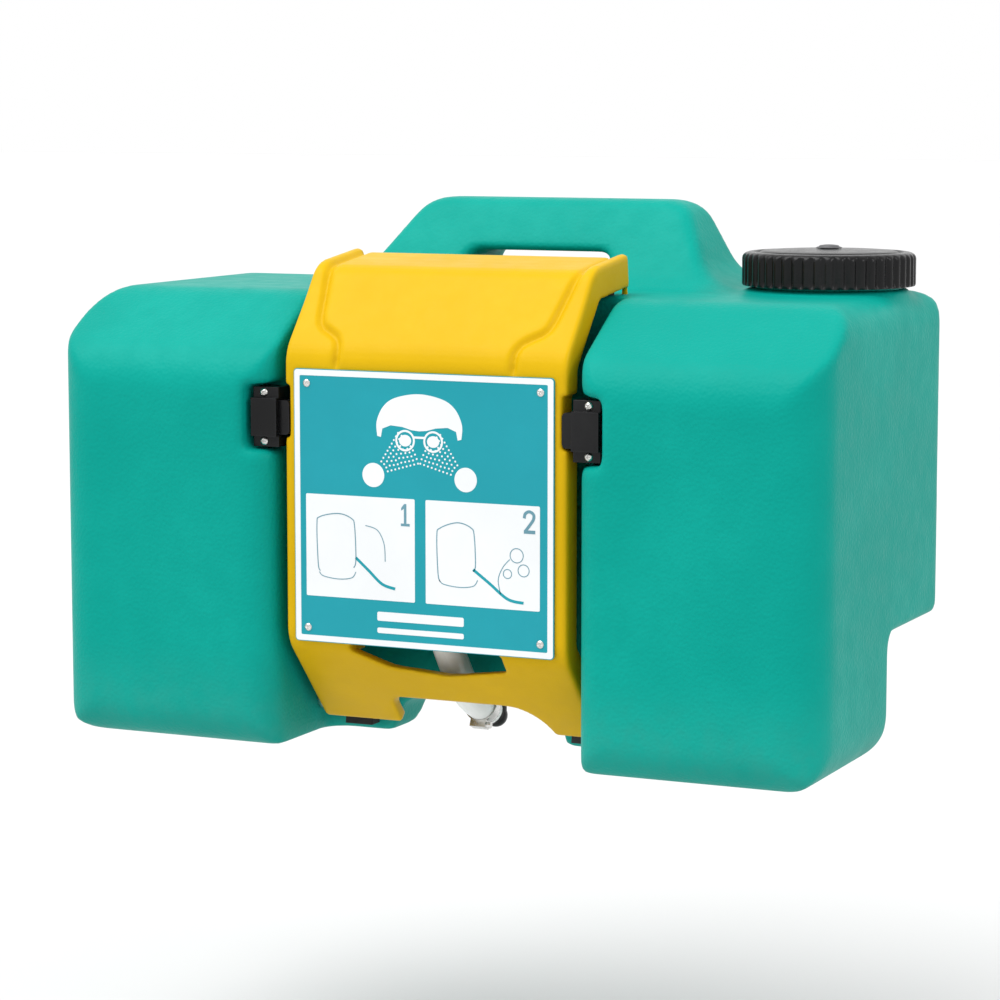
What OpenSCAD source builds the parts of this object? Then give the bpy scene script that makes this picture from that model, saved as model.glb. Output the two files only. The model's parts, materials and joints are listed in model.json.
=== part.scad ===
// Portable gravity-fed eyewash station: a moulded tank with a carrying handle, a screw-cap filler
// and a swing-down arm that carries two spray heads fed by a hose.
// X runs across, Y from front to back, Z up. The origin is at the middle of the base.

/* [Tank] */
// Overall width of the tank
tank_w = 580; // [540:1:700]
// Overall depth of the tank
tank_d = 280; // [260:1:340]
// Height of the flat top above the base
tank_h = 320; // [300:1:400]
// Wall thickness of the moulding
wall = 5; // [4:0.5:6]
// Radius of the upright outer edges
edge_r = 25; // [18:1:30]
// Radius of the bottom edges
base_r = 22; // [14:1:24]
// Depth over which the front slopes back below the top
slope_d = 74; // [50:1:80]
// Height of the sloping front
slope_h = 46; // [30:1:60]
// Depth of the lower part, in front of the wall bracket
lower_d = 152; // [148:1:170]
// Height of the step that rests on the wall bracket
step_z = 88; // [70:1:110]
// Width of the arch under the middle
arch_w = 124; // [100:1:140]
// Height of the arch under the middle
arch_h = 25; // [24:1:28]

/* [Recess and arm] */
// Width of the recess that holds the arm
recess_w = 230; // [210:1:260]
// Depth of the recess
recess_d = 100; // [96:1:110]
// Running gap on each side of the arm
arm_gap = 8; // [7:0.5:12]
// Depth of the arm's side flanges
arm_t = 20; // [18:1:24]
// Wall thickness of the arm
arm_wall = 4; // [3:0.5:5]
// How far the arm's face lies behind the tank's front
arm_set = 12; // [10:0.5:16]
// Height of the crease above the arm's feet
arm_crease_z = 78; // [74:1:84]
// Opening angle of the arm
arm_open = 124; // [110:1:126]

/* [Handle] */
// Height of the handle above the tank's top
handle_h = 64; // [56:1:80]
// Width of the handle's flat top
handle_w = 206; // [180:1:240]
// Width of the grip opening
grip_w = 116; // [100:1:130]
// Height of the grip opening
grip_h = 24; // [22:1:34]

/* [Filler and cap] */
// Outer diameter of the filler neck
neck_dia = 104; // [90:1:110]
// Outer diameter of the cap
cap_dia = 122; // [118:1:128]
// Height of the cap
cap_h = 26; // [22:1:32]
// Number of grip ribs round the cap
cap_ribs = 60; // [40:1:80]
// Distance of the neck's axis from the tank's right side
neck_side = 66; // [64:1:90]
// Distance of the neck's axis from the tank's back
neck_back = 74; // [66:1:90]

/* [Sign] */
// Width of the sign
sign_w = 197; // [180:1:200]
// Height of the sign
sign_h = 191; // [170:1:195]
// Thickness of the sign
sign_t = 1.6; // [1:0.1:2]

/* [Water path] */
// Outer diameter of the hose
hose_od = 22; // [20:0.5:22]
// Inner diameter of the hose
hose_id = 17.5; // [16:0.5:18]
// Distance between the spray heads
head_gap = 84; // [76:1:96]
// Outer diameter of a spray head
head_dia = 34; // [32:1:38]
// Height of a spray head
head_h = 22; // [20:1:26]

/* [Hidden] */
$fn = 96;
slip = 0.05;   // clearance of a pin or screw in its hole
gap = 0.3;     // clearance of faces that lie against each other
front = -tank_d / 2;
back = tank_d / 2;
neck_x = tank_w / 2 - neck_side;
neck_y = back - neck_back;
neck_h = 23;
neck_bore = neck_dia - 12;
cap_z = tank_h + 5;

// Side view of the tank, from its front plane: [depth, height, corner radius]
tank_side = [[0, 0, base_r], [lower_d, 0, base_r - 4], [lower_d, step_z, 12], [tank_d, step_z, 18],
  [tank_d, tank_h, edge_r], [slope_d, tank_h, 30], [0, tank_h - slope_h, 30]];
tank_plan = [[-tank_w / 2, back, edge_r], [-tank_w / 2, front, edge_r], [-recess_w / 2, front, 20],
  [-recess_w / 2, front + recess_d, 14], [recess_w / 2, front + recess_d, 14], [recess_w / 2, front, 20],
  [tank_w / 2, front, edge_r], [tank_w / 2, back, edge_r]];
tank_face = [[-tank_w / 2, 0, base_r], [tank_w / 2, 0, base_r], [tank_w / 2, tank_h, 24],
  [-tank_w / 2, tank_h, 24]];
arch = [[-arch_w / 2 - 12, -30, 0], [arch_w / 2 + 12, -30, 0], [arch_w / 2, arch_h, 16],
  [-arch_w / 2, arch_h, 16]];
handle_foot = tank_h - 22;
handle_top = tank_h + handle_h;
handle_face = [[-handle_w / 2 - 55, handle_foot, 0], [handle_w / 2 + 55, handle_foot, 0],
  [handle_w / 2 + 55, tank_h - 2, 0], [handle_w / 2 + 29, tank_h + 14, 40], [handle_w / 2, handle_top, 28],
  [-handle_w / 2, handle_top, 28], [-handle_w / 2 - 29, tank_h + 14, 40],
  [-handle_w / 2 - 55, tank_h - 2, 0]];
grip = [[-grip_w / 2, tank_h, 7], [grip_w / 2, tank_h, 7], [grip_w / 2, tank_h + grip_h, 10],
  [-grip_w / 2, tank_h + grip_h, 10]];
handle_side = [[tank_d - 104, handle_foot, 0], [tank_d - 3, handle_foot, 0], [tank_d - 3, handle_top, 18],
  [tank_d - 42, handle_top, 16], [tank_d - 80, tank_h + 20, 30], [tank_d - 104, tank_h - 4, 0]];

// Outer line of the arm from its foot to its tip, seen from the side: [depth, height, bend radius]
arm_line = [[70, 14, 0], [arm_set, arm_crease_z, 28], [arm_set, tank_h - 38, 28], [60, tank_h + 18, 24],
  [recess_d + 18, tank_h + 25, 0]];
arm_w = recess_w - 2 * arm_gap;
slope_a = atan2(arm_line[3][1] - arm_line[2][1], arm_line[3][0] - arm_line[2][0]);
slot = [[-60, arm_crease_z - 4, 4], [-34, 62, 30], [10, 58, 60], [57, 65, 3], [57, arm_crease_z, 2],
  [-60, arm_crease_z, 1]];
notch = [[-45, -20, 0], [76, -20, 0], [76, 36, 32], [-45, 36, 7]];
bar_t = 9;     // depth of the bar between slot and notch

// Pivot of the arm, and the pads that stop it when open
pivot = [78, 26];
pin_r = 4;
ear_r = 11;
ear_x = arm_w / 2 - 11;
boss_x = recess_w / 2 - 1.5;
foot_r = norm([arm_line[0][0] - pivot[0], arm_line[0][1] - pivot[1]]);
foot_a = 180 - atan2(arm_line[1][0] - arm_line[0][0], arm_line[1][1] - arm_line[0][1]);

// Side catches
catch_z = 235;
nose_h = 24;
nose_t = 13.7;
nose_y = 19;   // middle of the catch block, behind the tank's front
nose_x = arm_w / 2 - 3.7;
catch_x = recess_w / 2 - 3.5;
catch_end = catch_x + 20;
catch_screw_x = recess_w / 2 + 8;
screw_r = 2;

// Spray heads, on the sloping part of the arm
head_foot = 4;
head_r = head_dia / 2;
head_top = head_foot + head_h;
head_seat = [(arm_line[2][0] + arm_line[3][0]) / 2, (arm_line[2][1] + arm_line[3][1]) / 2];
feed_z = head_foot + 10;
feed_r = 6.5;
lid_axis = [head_r + 4.5, head_top - 3.5];

// Hose and fittings: the route is [depth behind the tank's front, height]
barb_r = 8;
outlet = [lower_d - 20, 12];
outlet_tilt = 25;
seat_z = arch_h + 11;   // ceiling of the round seat that the outlet's nut sits in
seat_r = 16;
flange_r = 13;
nut_t = 5.5;
niche_r = hose_od / 2 + 2.5;
niche_z = seat_z + 10;
inward_n = [sin(slope_a), -cos(slope_a)];
feed = [head_seat[0] + (arm_wall + feed_z) * inward_n[0], head_seat[1] + (arm_wall + feed_z) * inward_n[1]];
stem_a = 17;   // lean of the manifold's stem
stem_l = 28;
barb_l = 26;
hose_y = arm_set + arm_wall + hose_od / 2 + 1;
hose_low = [[118.9, 18.1], [109.2, 22.6], [99.4, 27.2], [90, 32.6], [81, 39.2], [73, 47],
  [65, 56.5], [57, 67],
  [49, 78.5], [41.5, 90], [35, 101], [30.8, 110], [28.6, 119], [28, 130], [28, 145], [28, 160], [28, 175],
  [28, 190]];
// The last points are offsets from the manifold's feed
hose_top = [[-21.66, -92.28], [-21.06, -81.28], [-20.06, -70.28], [-17.46, -58.28], [-13.66, -44.78],
  [-9.56, -31.28]];
hose_route = concat(hose_low, [for (p = hose_top) feed + p]);
clip_z = [140, 198];

// ---- plane geometry ----
function inward(a, b) = [a[1] - b[1], b[0] - a[0]] / norm([b[0] - a[0], b[1] - a[1]]);
function before(p, i) = p[(i + len(p) - 1) % len(p)];
function after(p, i) = p[(i + 1) % len(p)];
function turn(p, i) = cross(inward(before(p, i), p[i]), inward(p[i], after(p, i)));

// The outline moved inwards by d, with its corner radii kept concentric
function inset(p, d) = [for (i = [0:len(p) - 1])
  let (n1 = inward(before(p, i), p[i]), n2 = inward(p[i], after(p, i)), m = (n1 + n2) / (1 + n1 * n2))
  [p[i][0] + d * m[0], p[i][1] + d * m[1], p[i][2] == 0 ? 0 : max(p[i][2] - d * sign(turn(p, i)), 0.5)]];

// Tangent points and centre of the corner at i
function corner(p, i) = let (b = [p[i][0], p[i][1]], a = [before(p, i)[0], before(p, i)[1]],
    c = [after(p, i)[0], after(p, i)[1]], u = (a - b) / norm(a - b), v = (c - b) / norm(c - b),
    h = acos(u * v) / 2, w = (u + v) / norm(u + v))
  [b + u * p[i][2] / tan(h), b + v * p[i][2] / tan(h), b + w * p[i][2] / sin(h)];

// A polygon whose corners are rounded by true arcs; points run anticlockwise
module rounded(p) {
  core = [for (i = [0:len(p) - 1])
    each p[i][2] == 0 ? [[p[i][0], p[i][1]]] : [corner(p, i)[0], corner(p, i)[1]]];
  difference() {
    union() {
      polygon(core);
      for (i = [0:len(p) - 1]) if (p[i][2] > 0 && turn(p, i) > 0) translate(corner(p, i)[2]) circle(p[i][2]);
    }
    for (i = [0:len(p) - 1]) if (p[i][2] > 0 && turn(p, i) < 0) translate(corner(p, i)[2]) circle(p[i][2]);
  }
}

// ---- placing ----
// A side view, drawn from the tank's front plane, made w wide about x
module across(w, x = 0) translate([x - w / 2, front, 0]) rotate([90, 0, 90]) linear_extrude(w) children();
// A front view, from y = a to y = b behind the tank's front plane
module deep(a, b) translate([0, front + b, 0]) rotate([90, 0, 0]) linear_extrude(b - a) children();
module both_sides() { children(); mirror([1, 0, 0]) children(); }
// A cylinder along X from x = a to x = b, at [depth, height]
module rod(a, b, r, at) translate([a, front + at[0], at[1]]) rotate([0, 90, 0]) cylinder(h = b - a, r = r);
// A cylinder along Y, pointing back, starting y behind the tank's front plane
module rod_y(x, y, z, r, h) translate([x, front + y, z]) rotate([-90, 0, 0]) cylinder(h = h, r = r);
module block(x, y, z) translate([x[0], front + y[0], z[0]]) cube([x[1] - x[0], y[1] - y[0], z[1] - z[0]]);
// Local frame of a spray head: Z away from the arm, +Y towards the pivot
module at_head(x)
  translate([x, front + head_seat[0] + arm_wall * inward_n[0], head_seat[1] + arm_wall * inward_n[1]])
  rotate([slope_a - 180, 0, 0]) children();
// Local frame of the outlet's barb, Z along the hose
module at_outlet() translate([0, front + outlet[0], outlet[1]]) rotate([90 - outlet_tilt, 0, 0]) children();
// Local frame of the manifold's stem, Z down towards the hose
module at_stem() translate([0, front + feed[0], feed[1]]) rotate([180 - stem_a, 0, 0]) children();
module ring(ro, ri, h)
  difference() { cylinder(h = h, r = ro); translate([0, 0, -1]) cylinder(h = h + 2, r = ri); }

// ---- tank ----
module tank_body(d) intersection() {
  across(tank_w + 2) rounded(inset(tank_side, d));
  translate([0, 0, -1]) linear_extrude(tank_h + 2) rounded(inset(tank_plan, d));
  deep(-1, tank_d + 1) rounded(inset(tank_face, d));
}

module handle_body(d) intersection() {
  across(tank_w) rounded(inset(handle_side, d));
  deep(0, tank_d) difference() {
    rounded(inset(handle_face, d));
    rounded(inset(grip, -d));
  }
}

// Space for the outlet and the hose: a round seat in the arch's ceiling and a niche open to the front
module outlet_space(d) {
  translate([0, front + outlet[0], -1]) cylinder(h = seat_z + d + 1, r = seat_r + d);
  deep(recess_d - 10, outlet[0] - seat_r + 4 + d) translate([-niche_r - d, -1])
    square([2 * niche_r + 2 * d, seat_z + d + 1]);
  deep(recess_d - 10, outlet[0] - seat_r - 4 + d) {
    translate([-niche_r - d, -1]) square([2 * niche_r + 2 * d, niche_z - niche_r + 1]);
    translate([0, niche_z - niche_r]) circle(niche_r + d);
  }
}

module catch_pocket(d) block([catch_x - 2, catch_end + 4 + d], [-2, nose_y + 12 + d],
  [catch_z - 23 - d, catch_z + 23 + d]);

module tank() color([0.06, 0.66, 0.58]) difference() {
  union() {
    difference() {
      union() {
        tank_body(0);
        handle_body(0);
        translate([neck_x, neck_y, tank_h - 12]) cylinder(h = 16, r = neck_dia / 2 + 6);
        translate([neck_x, neck_y, tank_h - 12]) cylinder(h = 12 + neck_h, r = neck_dia / 2);
      }
      difference() {
        union() { tank_body(wall); handle_body(wall); }
        deep(recess_d - 10, lower_d + 10) rounded(inset(arch, -wall));
        outlet_space(wall);
        both_sides() catch_pocket(wall);
      }
      deep(recess_d - 10, lower_d + 10) rounded(arch);
      outlet_space(0);
      both_sides() catch_pocket(0);
    }
    both_sides() {
      rod(boss_x, boss_x + 20, ear_r, pivot);
      for (s = [-1, 1]) rod_y(catch_screw_x, nose_y + 12, catch_z + s * 17, 6, 18);
    }
  }
  translate([neck_x, neck_y, tank_h - wall - 8]) cylinder(h = 60, r = neck_bore / 2);
  both_sides() {
    rod(boss_x - 1, boss_x + 15, 6 + slip, pivot);
    for (s = [-1, 1]) rod_y(catch_screw_x, nose_y + 11, catch_z + s * 17, screw_r + slip, 16);
  }
  translate([0, front + outlet[0], seat_z - 5]) cylinder(h = wall + 10, r = barb_r + slip);
}

module filler_cap() color([0.06, 0.06, 0.07]) translate([neck_x, neck_y, 0]) difference() {
  union() {
    translate([0, 0, cap_z]) linear_extrude(cap_h - 4)
      polygon([for (i = [0:2 * cap_ribs - 1]) (cap_dia / 2 - (i % 2) * 1.6) *
        [cos(180 * i / cap_ribs), sin(180 * i / cap_ribs)]]);
    translate([0, 0, cap_z + cap_h - 6]) cylinder(h = 4, r = cap_dia / 2 - 2.5);
    translate([0, 0, cap_z + cap_h - 3]) cylinder(h = 3, r1 = cap_dia / 2 - 4, r2 = cap_dia / 2 - 12);
  }
  translate([0, 0, cap_z - 1]) cylinder(h = tank_h + neck_h + 2 - cap_z + 1, r = neck_dia / 2 + 1.5);
  translate([0, 0, cap_z]) cylinder(h = cap_h + 1, r = 6 + slip);
}

module cap_gasket() color([0.2, 0.2, 0.2]) translate([neck_x, neck_y, tank_h + neck_h + slip])
  ring(neck_dia / 2, neck_bore / 2, 2 - 2 * slip);

module vent_plug() color([0.3, 0.3, 0.32]) translate([neck_x, neck_y, cap_z + cap_h]) {
  translate([0, 0, slip]) cylinder(h = 2.5, r = 9);
  translate([0, 0, -9]) cylinder(h = 10, r = 6);
}

// ---- outlet under the middle of the tank ----
module outlet_fitting() color([0.07, 0.07, 0.08]) difference() {
  union() {
    translate([0, front + outlet[0], seat_z + wall + 2]) cylinder(h = 4, r = flange_r);
    translate([0, front + outlet[0], outlet[1]]) cylinder(h = seat_z + wall + 3 - outlet[1], r = barb_r);
    translate([0, front + outlet[0], outlet[1]]) sphere(r = barb_r + 0.6);
    at_outlet() {
      cylinder(h = barb_l + 8, r = barb_r - 0.4);
      for (i = [1:3]) translate([0, 0, 8 + i * 7]) cylinder(h = 3, r1 = barb_r, r2 = barb_r - 0.4);
    }
  }
  translate([0, front + outlet[0], outlet[1]]) cylinder(h = 60, r = 5.5);
  at_outlet() cylinder(h = barb_l + 10, r = 5.5);
}

module outlet_nut() color([0.08, 0.08, 0.09])
  translate([0, front + outlet[0], seat_z - nut_t - slip]) difference() {
  cylinder(h = nut_t, r = seat_r - 3, $fn = 6);
  translate([0, 0, -1]) cylinder(h = nut_t + 2, r = barb_r + slip);
}

module outlet_gasket() color([0.15, 0.15, 0.15]) translate([0, front + outlet[0], seat_z + wall + slip])
  ring(flange_r - 1, barb_r + slip, 2 - 2 * slip);

module outlet_strainer() color("silver")
  translate([0, front + outlet[0], seat_z + wall + 6 + slip]) difference() {
  cylinder(h = 22, r = 11);
  translate([0, 0, -1]) cylinder(h = 21.5, r = 9.8);
  for (i = [0:5], z = [5, 12]) translate([0, 0, z]) rotate([0, 90, i * 60]) cylinder(h = 20, r = 2);
}

// A worm-drive band round the hose, with its screw housing on the -Y side
module hose_clamp() {
  difference() {
    union() {
      cylinder(h = 9, r = hose_od / 2 + 1.2);
      translate([-6, hose_od / 2 - 1, 0.5]) cube([12, 6, 8]);
    }
    translate([0, 0, -1]) cylinder(h = 11, r = hose_od / 2 + gap);
  }
  translate([-9, hose_od / 2 + 2.5, 4.5]) rotate([0, 90, 0]) cylinder(h = 4, r = 2.3);
}

module outlet_hose_clamp() color("silver") at_outlet() translate([0, 0, 20]) rotate(180) hose_clamp();
module manifold_hose_clamp() color("silver") at_stem() translate([0, 0, stem_l + 8]) rotate(180) hose_clamp();

// ---- catches at the sides of the arm (the right-hand one; the left is its mirror) ----
module catch_housing() color([0.05, 0.05, 0.06]) difference() {
  union() {
    block([catch_x, catch_end], [nose_y - 7, nose_y + 12 - gap], [catch_z - 21, catch_z + 21]);
    block([catch_x, catch_end], [nose_y - 11, nose_y], [catch_z - 13.5, catch_z + 13.5]);
  }
  block([catch_x - 1, catch_end - 3.5], [nose_y - nose_t / 2 - slip, nose_y + nose_t / 2 + slip],
    [catch_z - nose_h / 2 - slip, catch_z + nose_h / 2 + slip]);
  for (s = [-1, 1]) rod_y(catch_screw_x, 0, catch_z + s * 17, screw_r + slip, 40);
}

module catch_plunger() color([0.08, 0.08, 0.09]) difference() {
  intersection() {
    block([nose_x, catch_x + 9], [nose_y - nose_t / 2, nose_y + nose_t / 2],
      [catch_z - nose_h / 2, catch_z + nose_h / 2]);
    deep(0, 60) rounded([[nose_x, catch_z - nose_h / 2, 3], [catch_x + 9, catch_z - nose_h / 2, 0],
      [catch_x + 9, catch_z + nose_h / 2, 0], [nose_x, catch_z + nose_h / 2, 3]]);
  }
  rod(catch_x + 1, catch_x + 10, 4, [nose_y, catch_z]);
}

// Coil of the spring, from the floor of the plunger's bore to the housing's end wall
spring_r = 3;
spring_wire = 0.5;
spring_turns = 5;
spring_a = catch_x + 1 + spring_wire + slip;
spring_b = catch_end - 3.5 - spring_wire - slip;
spring_steps = 16 * spring_turns;
function coil(i, j) = let (t = 360 * i / 16, c = 60 * j, r = spring_r + spring_wire * cos(c))
  [spring_a + (spring_b - spring_a) * i / spring_steps + spring_wire * sin(c),
    front + nose_y + r * cos(t), catch_z + r * sin(t)];
module catch_spring() color("silver") polyhedron(
  points = [for (i = [0:spring_steps], j = [0:5]) coil(i, j)],
  faces = concat([[for (j = [0:5]) j]], [[for (j = [5:-1:0]) spring_steps * 6 + j]],
    [for (i = [0:spring_steps - 1], j = [0:5]) let (k = (j + 1) % 6) each
      [[i * 6 + j, (i + 1) * 6 + j, (i + 1) * 6 + k], [i * 6 + j, (i + 1) * 6 + k, i * 6 + k]]]));

module catch_screws() color("silver") both_sides() for (s = [-1, 1]) {
  rod_y(catch_screw_x, nose_y - 7 - slip - 2, catch_z + s * 17, 3.2, 2);
  rod_y(catch_screw_x, nose_y - 8, catch_z + s * 17, screw_r, 32);
}

// ---- pivot and stops ----
module pivot_bolt() color("silver") difference() {
  union() {
    rod(ear_x - 5, ear_x - slip, 7, pivot);
    rod(ear_x - 1, boss_x + slip, pin_r, pivot);
    rod(boss_x, boss_x + 13, 3, pivot);
  }
  translate([ear_x - 6, front + pivot[0], pivot[1]]) rotate([0, 90, 0]) cylinder(h = 4, r = 3, $fn = 6);
}

module pivot_inserts() color([0.75, 0.6, 0.3]) both_sides() difference() {
  rod(boss_x + 0.5, boss_x + 14, 6, pivot);
  rod(boss_x, boss_x + 16, 3 + slip, pivot);
}

module pivot_washers() color("silver") both_sides() difference() {
  rod(arm_w / 2 + 1.7, boss_x - 0.1, 8, pivot);
  rod(arm_w / 2, boss_x + 1, pin_r + slip, pivot);
}

module pivot_bush() color([0.9, 0.9, 0.88]) difference() {
  union() {
    rod(ear_x, arm_w / 2 + 1, 6, pivot);
    rod(arm_w / 2 + slip, arm_w / 2 + 1.6, 9, pivot);
  }
  rod(ear_x - 1, arm_w / 2 + 3, pin_r + slip, pivot);
}

// Wedges under the arm's feet that meet the feet's outer faces when the arm is down
pad_reach = foot_r + 0.3;
pad_n = [cos(foot_a + arm_open), sin(foot_a + arm_open)];
pad_at = [pivot[0] + pad_reach * pad_n[0], pivot[1] + pad_reach * pad_n[1]];
module arm_stop_pads() color([0.12, 0.12, 0.12]) both_sides() across(22, arm_w / 2 - 18)
  polygon([[recess_d - slip, 6], [recess_d - slip, pad_at[1] + 3],
    [pad_at[0] - 3 * pad_n[1] * pad_n[0], pad_at[1] + 3 * pad_n[0] * pad_n[0]],
    [pad_at[0] + (pad_at[1] - 6) * pad_n[1] / pad_n[0], 6]]);

module arm_rest_buffers() color([0.12, 0.12, 0.12]) both_sides()
  translate([arm_w / 2 - 12, front + recess_d + 10, tank_h + slip]) cylinder(h = 3 - slip, r = 5);

// ---- arm ----
// The arm's outer line moved by d towards the tank, as a polyline with bend radii
function away(a, b, s) = let (v = [a[0] - b[0], a[1] - b[1]])
  [a[0] + s * v[0] / norm(v), a[1] + s * v[1] / norm(v), a[2]];
function arm_offset(d, over = 0) = let (q = arm_line, n = len(q),
  p = [for (i = [0:n - 1]) i == 0 ? away(q[0], q[1], over) : i == n - 1 ? away(q[i], q[i - 1], over) : q[i]])
  [for (i = [0:n - 1])
  let (n1 = i > 0 ? inward(p[i], p[i - 1]) : undef, n2 = i < n - 1 ? inward(p[i + 1], p[i]) : undef,
    m = i == 0 ? n2 : i == n - 1 ? n1 : (n1 + n2) / (1 + n1 * n2))
  [p[i][0] + d * m[0], p[i][1] + d * m[1], p[i][2] == 0 ? 0 : max(p[i][2] - d, 0.5)]];
function reversed(p) = [for (i = [len(p) - 1:-1:0]) p[i]];
// Everything behind the line moved by d, closed by square ends at the foot and the tip
module arm_fill(d, reach, over = 0) let (far = arm_offset(reach, over), n = len(far))
  rounded(concat(reversed(arm_offset(d, over)),
    [[far[0][0], far[0][1], 0], [far[n - 1][0], far[n - 1][1], 0]]));
// A strip between the outer line moved by a and the same line moved by b
module arm_strip(a, b) difference() { arm_fill(a, 60); arm_fill(b, 62, 1); }

module catch_notch(d) block([arm_w / 2 - 4 - d, arm_w / 2 + 2], [-5, arm_set + arm_t + 30],
  [catch_z - nose_h / 2 - 1.5 - d, catch_z + nose_h / 2 + 11 + d]);

module arm_bosses() {
  for (x = [-1, 1], z = [-1, 1])
    rod_y(x * (sign_w / 2 - 10), arm_set + 1, sign_z + z * (sign_h / 2 - 10), 4.5, arm_wall + 6);
  for (x = [-1, 1], z = clip_z) rod_y(x * 18.5, arm_set + 1, z, 4.5, arm_wall + 3);
  for (x = [-1, 1], y = [-1, 1]) at_head(x * head_gap / 2) translate([0, y * (head_r + 5), -2])
    cylinder(h = head_foot + 2, r = 5);
}

sign_z = arm_crease_z + 1 + sign_h / 2;

module arm_shell() color([0.97, 0.79, 0.08]) difference() {
  union() {
    difference() {
      across(arm_w) arm_strip(0, arm_t);
      difference() {
        intersection() {
          across(arm_w - 2 * arm_wall) arm_strip(arm_wall, arm_t + 12);
          block([-200, 200], [-50, recess_d + 14], [arm_line[0][1] + 3, tank_h + 60]);
        }
        deep(-10, 200) rounded(inset(slot, -arm_wall));
        deep(-10, 200) rounded(inset(notch, -arm_wall));
        both_sides() catch_notch(arm_wall);
      }
    }
    both_sides() rod(ear_x, arm_w / 2, ear_r, pivot);
    arm_bosses();
  }
  deep(-10, 200) rounded(slot);
  deep(-10, 200) rounded(notch);
  // The bar between slot and notch is shallow, so that the hose passes behind it
  intersection() {
    across(116, -2) arm_strip(bar_t, arm_t + 20);
    block([-60, 56], [0, recess_d], [0, arm_crease_z]);
  }
  // The rim below the slot stops short of the hose
  block([-niche_r, niche_r], [arm_set + arm_wall, recess_d], [arm_crease_z, arm_crease_z + 120]);
  both_sides() {
    catch_notch(0);
    rod(ear_x - 1, arm_w / 2 + 1, 6 + slip, pivot);
  }
  for (x = [-1, 1], z = [-1, 1])
    rod_y(x * (sign_w / 2 - 10), arm_set - 2, sign_z + z * (sign_h / 2 - 10), screw_r + slip, 11);
  for (x = [-1, 1], z = clip_z) rod_y(x * 18.5, arm_set + 1.5, z, 1.75 + slip, 10);
  for (x = [-1, 1], y = [-1, 1]) at_head(x * head_gap / 2) translate([0, y * (head_r + 5), -2.5])
    cylinder(h = 20, r = 1.75 + slip);
}

module sign_plate() color([0.15, 0.62, 0.68]) difference() {
  block([-sign_w / 2, sign_w / 2], [arm_set - sign_t - slip, arm_set - slip],
    [sign_z - sign_h / 2, sign_z + sign_h / 2]);
  for (x = [-1, 1], z = [-1, 1])
    rod_y(x * (sign_w / 2 - 10), 0, sign_z + z * (sign_h / 2 - 10), screw_r + slip, 30);
}

module sign_screws() color("silver") for (x = [-1, 1], z = [-1, 1]) {
  rod_y(x * (sign_w / 2 - 10), arm_set - sign_t - 2 * slip - 1.4, sign_z + z * (sign_h / 2 - 10), 3, 1.4);
  rod_y(x * (sign_w / 2 - 10), arm_set - sign_t - 1, sign_z + z * (sign_h / 2 - 10), screw_r, 9);
}

// ---- water path on the arm ----
module spray_manifold() color([0.9, 0.91, 0.9]) difference() {
  union() {
    rod(-head_gap / 2 + head_r - 2.4, head_gap / 2 - head_r + 2.4, feed_r, feed);
    rod(-11, 11, feed_r + 3, feed);
    at_stem() {
      cylinder(h = stem_l, r = barb_r + 1.5);
      cylinder(h = stem_l + barb_l, r = barb_r - 0.4);
      for (i = [1:3]) translate([0, 0, stem_l + i * 7]) cylinder(h = 3, r1 = barb_r - 0.4, r2 = barb_r);
    }
  }
  rod(-head_gap / 2, head_gap / 2, feed_r - 2, feed);
  at_stem() cylinder(h = stem_l + barb_l + 2, r = 5.5);
}

module spray_head(s) color([0.88, 0.9, 0.89]) at_head(s * head_gap / 2) difference() {
  union() {
    translate([0, 0, head_foot + slip]) cylinder(h = head_h - slip, r = head_r);
    for (y = [-1, 1]) {
      translate([0, y * (head_r + 5), head_foot + slip]) cylinder(h = 3, r = 5);
      translate([-5, y > 0 ? head_r - 3 : -head_r - 5, head_foot + slip]) cube([10, 8, 3]);
    }
    for (x = [-1, 1]) {
      translate([x * 7 - 1.5, head_r - 3, lid_axis[1] - 2.8]) cube([3, lid_axis[0] - head_r + 3, 5.6]);
      translate([x * 7 - 1.5, lid_axis[0], lid_axis[1]]) rotate([0, 90, 0]) cylinder(h = 3, r = 2.8);
    }
  }
  translate([0, 0, head_foot + 3]) cylinder(h = head_h, r = head_r - 5);
  translate([0, 0, head_top - 5]) cylinder(h = 6, r = head_r - 2.4);
  translate([-s * head_r * 2, 0, feed_z]) rotate([0, s * 90, 0]) cylinder(h = head_r * 2, r = feed_r + slip);
  for (y = [-1, 1]) translate([0, y * (head_r + 5), 0]) cylinder(h = 20, r = 1.75 + slip);
  translate([-10, lid_axis[0], lid_axis[1]]) rotate([0, 90, 0]) cylinder(h = 20, r = 1 + slip);
}

module spray_rose(s) color("white") at_head(s * head_gap / 2) translate([0, 0, head_top - 3]) difference() {
  cylinder(h = 2.6, r = head_r - 2.4 - slip);
  for (k = [0:2], i = [0:max(0, 6 * k - 1)]) rotate(60 * i / max(k, 1)) translate([4.6 * k, 0, -1])
    cylinder(h = 5, r = 0.9);
}

module head_strainers() color([0.5, 0.52, 0.55]) for (s = [-1, 1]) at_head(s * head_gap / 2)
  translate([0, 0, head_top - 5 + slip]) cylinder(h = 1.8, r = head_r - 2.4 - slip);

module head_screws() color("silver") for (x = [-1, 1], y = [-1, 1]) at_head(x * head_gap / 2)
  translate([0, y * (head_r + 5), 0]) {
    translate([0, 0, -2.3]) cylinder(h = head_foot + 6, r = 1.75);
    translate([0, 0, head_foot + 3 + 2 * slip]) cylinder(h = 1.8, r = 3);
  }

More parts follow.
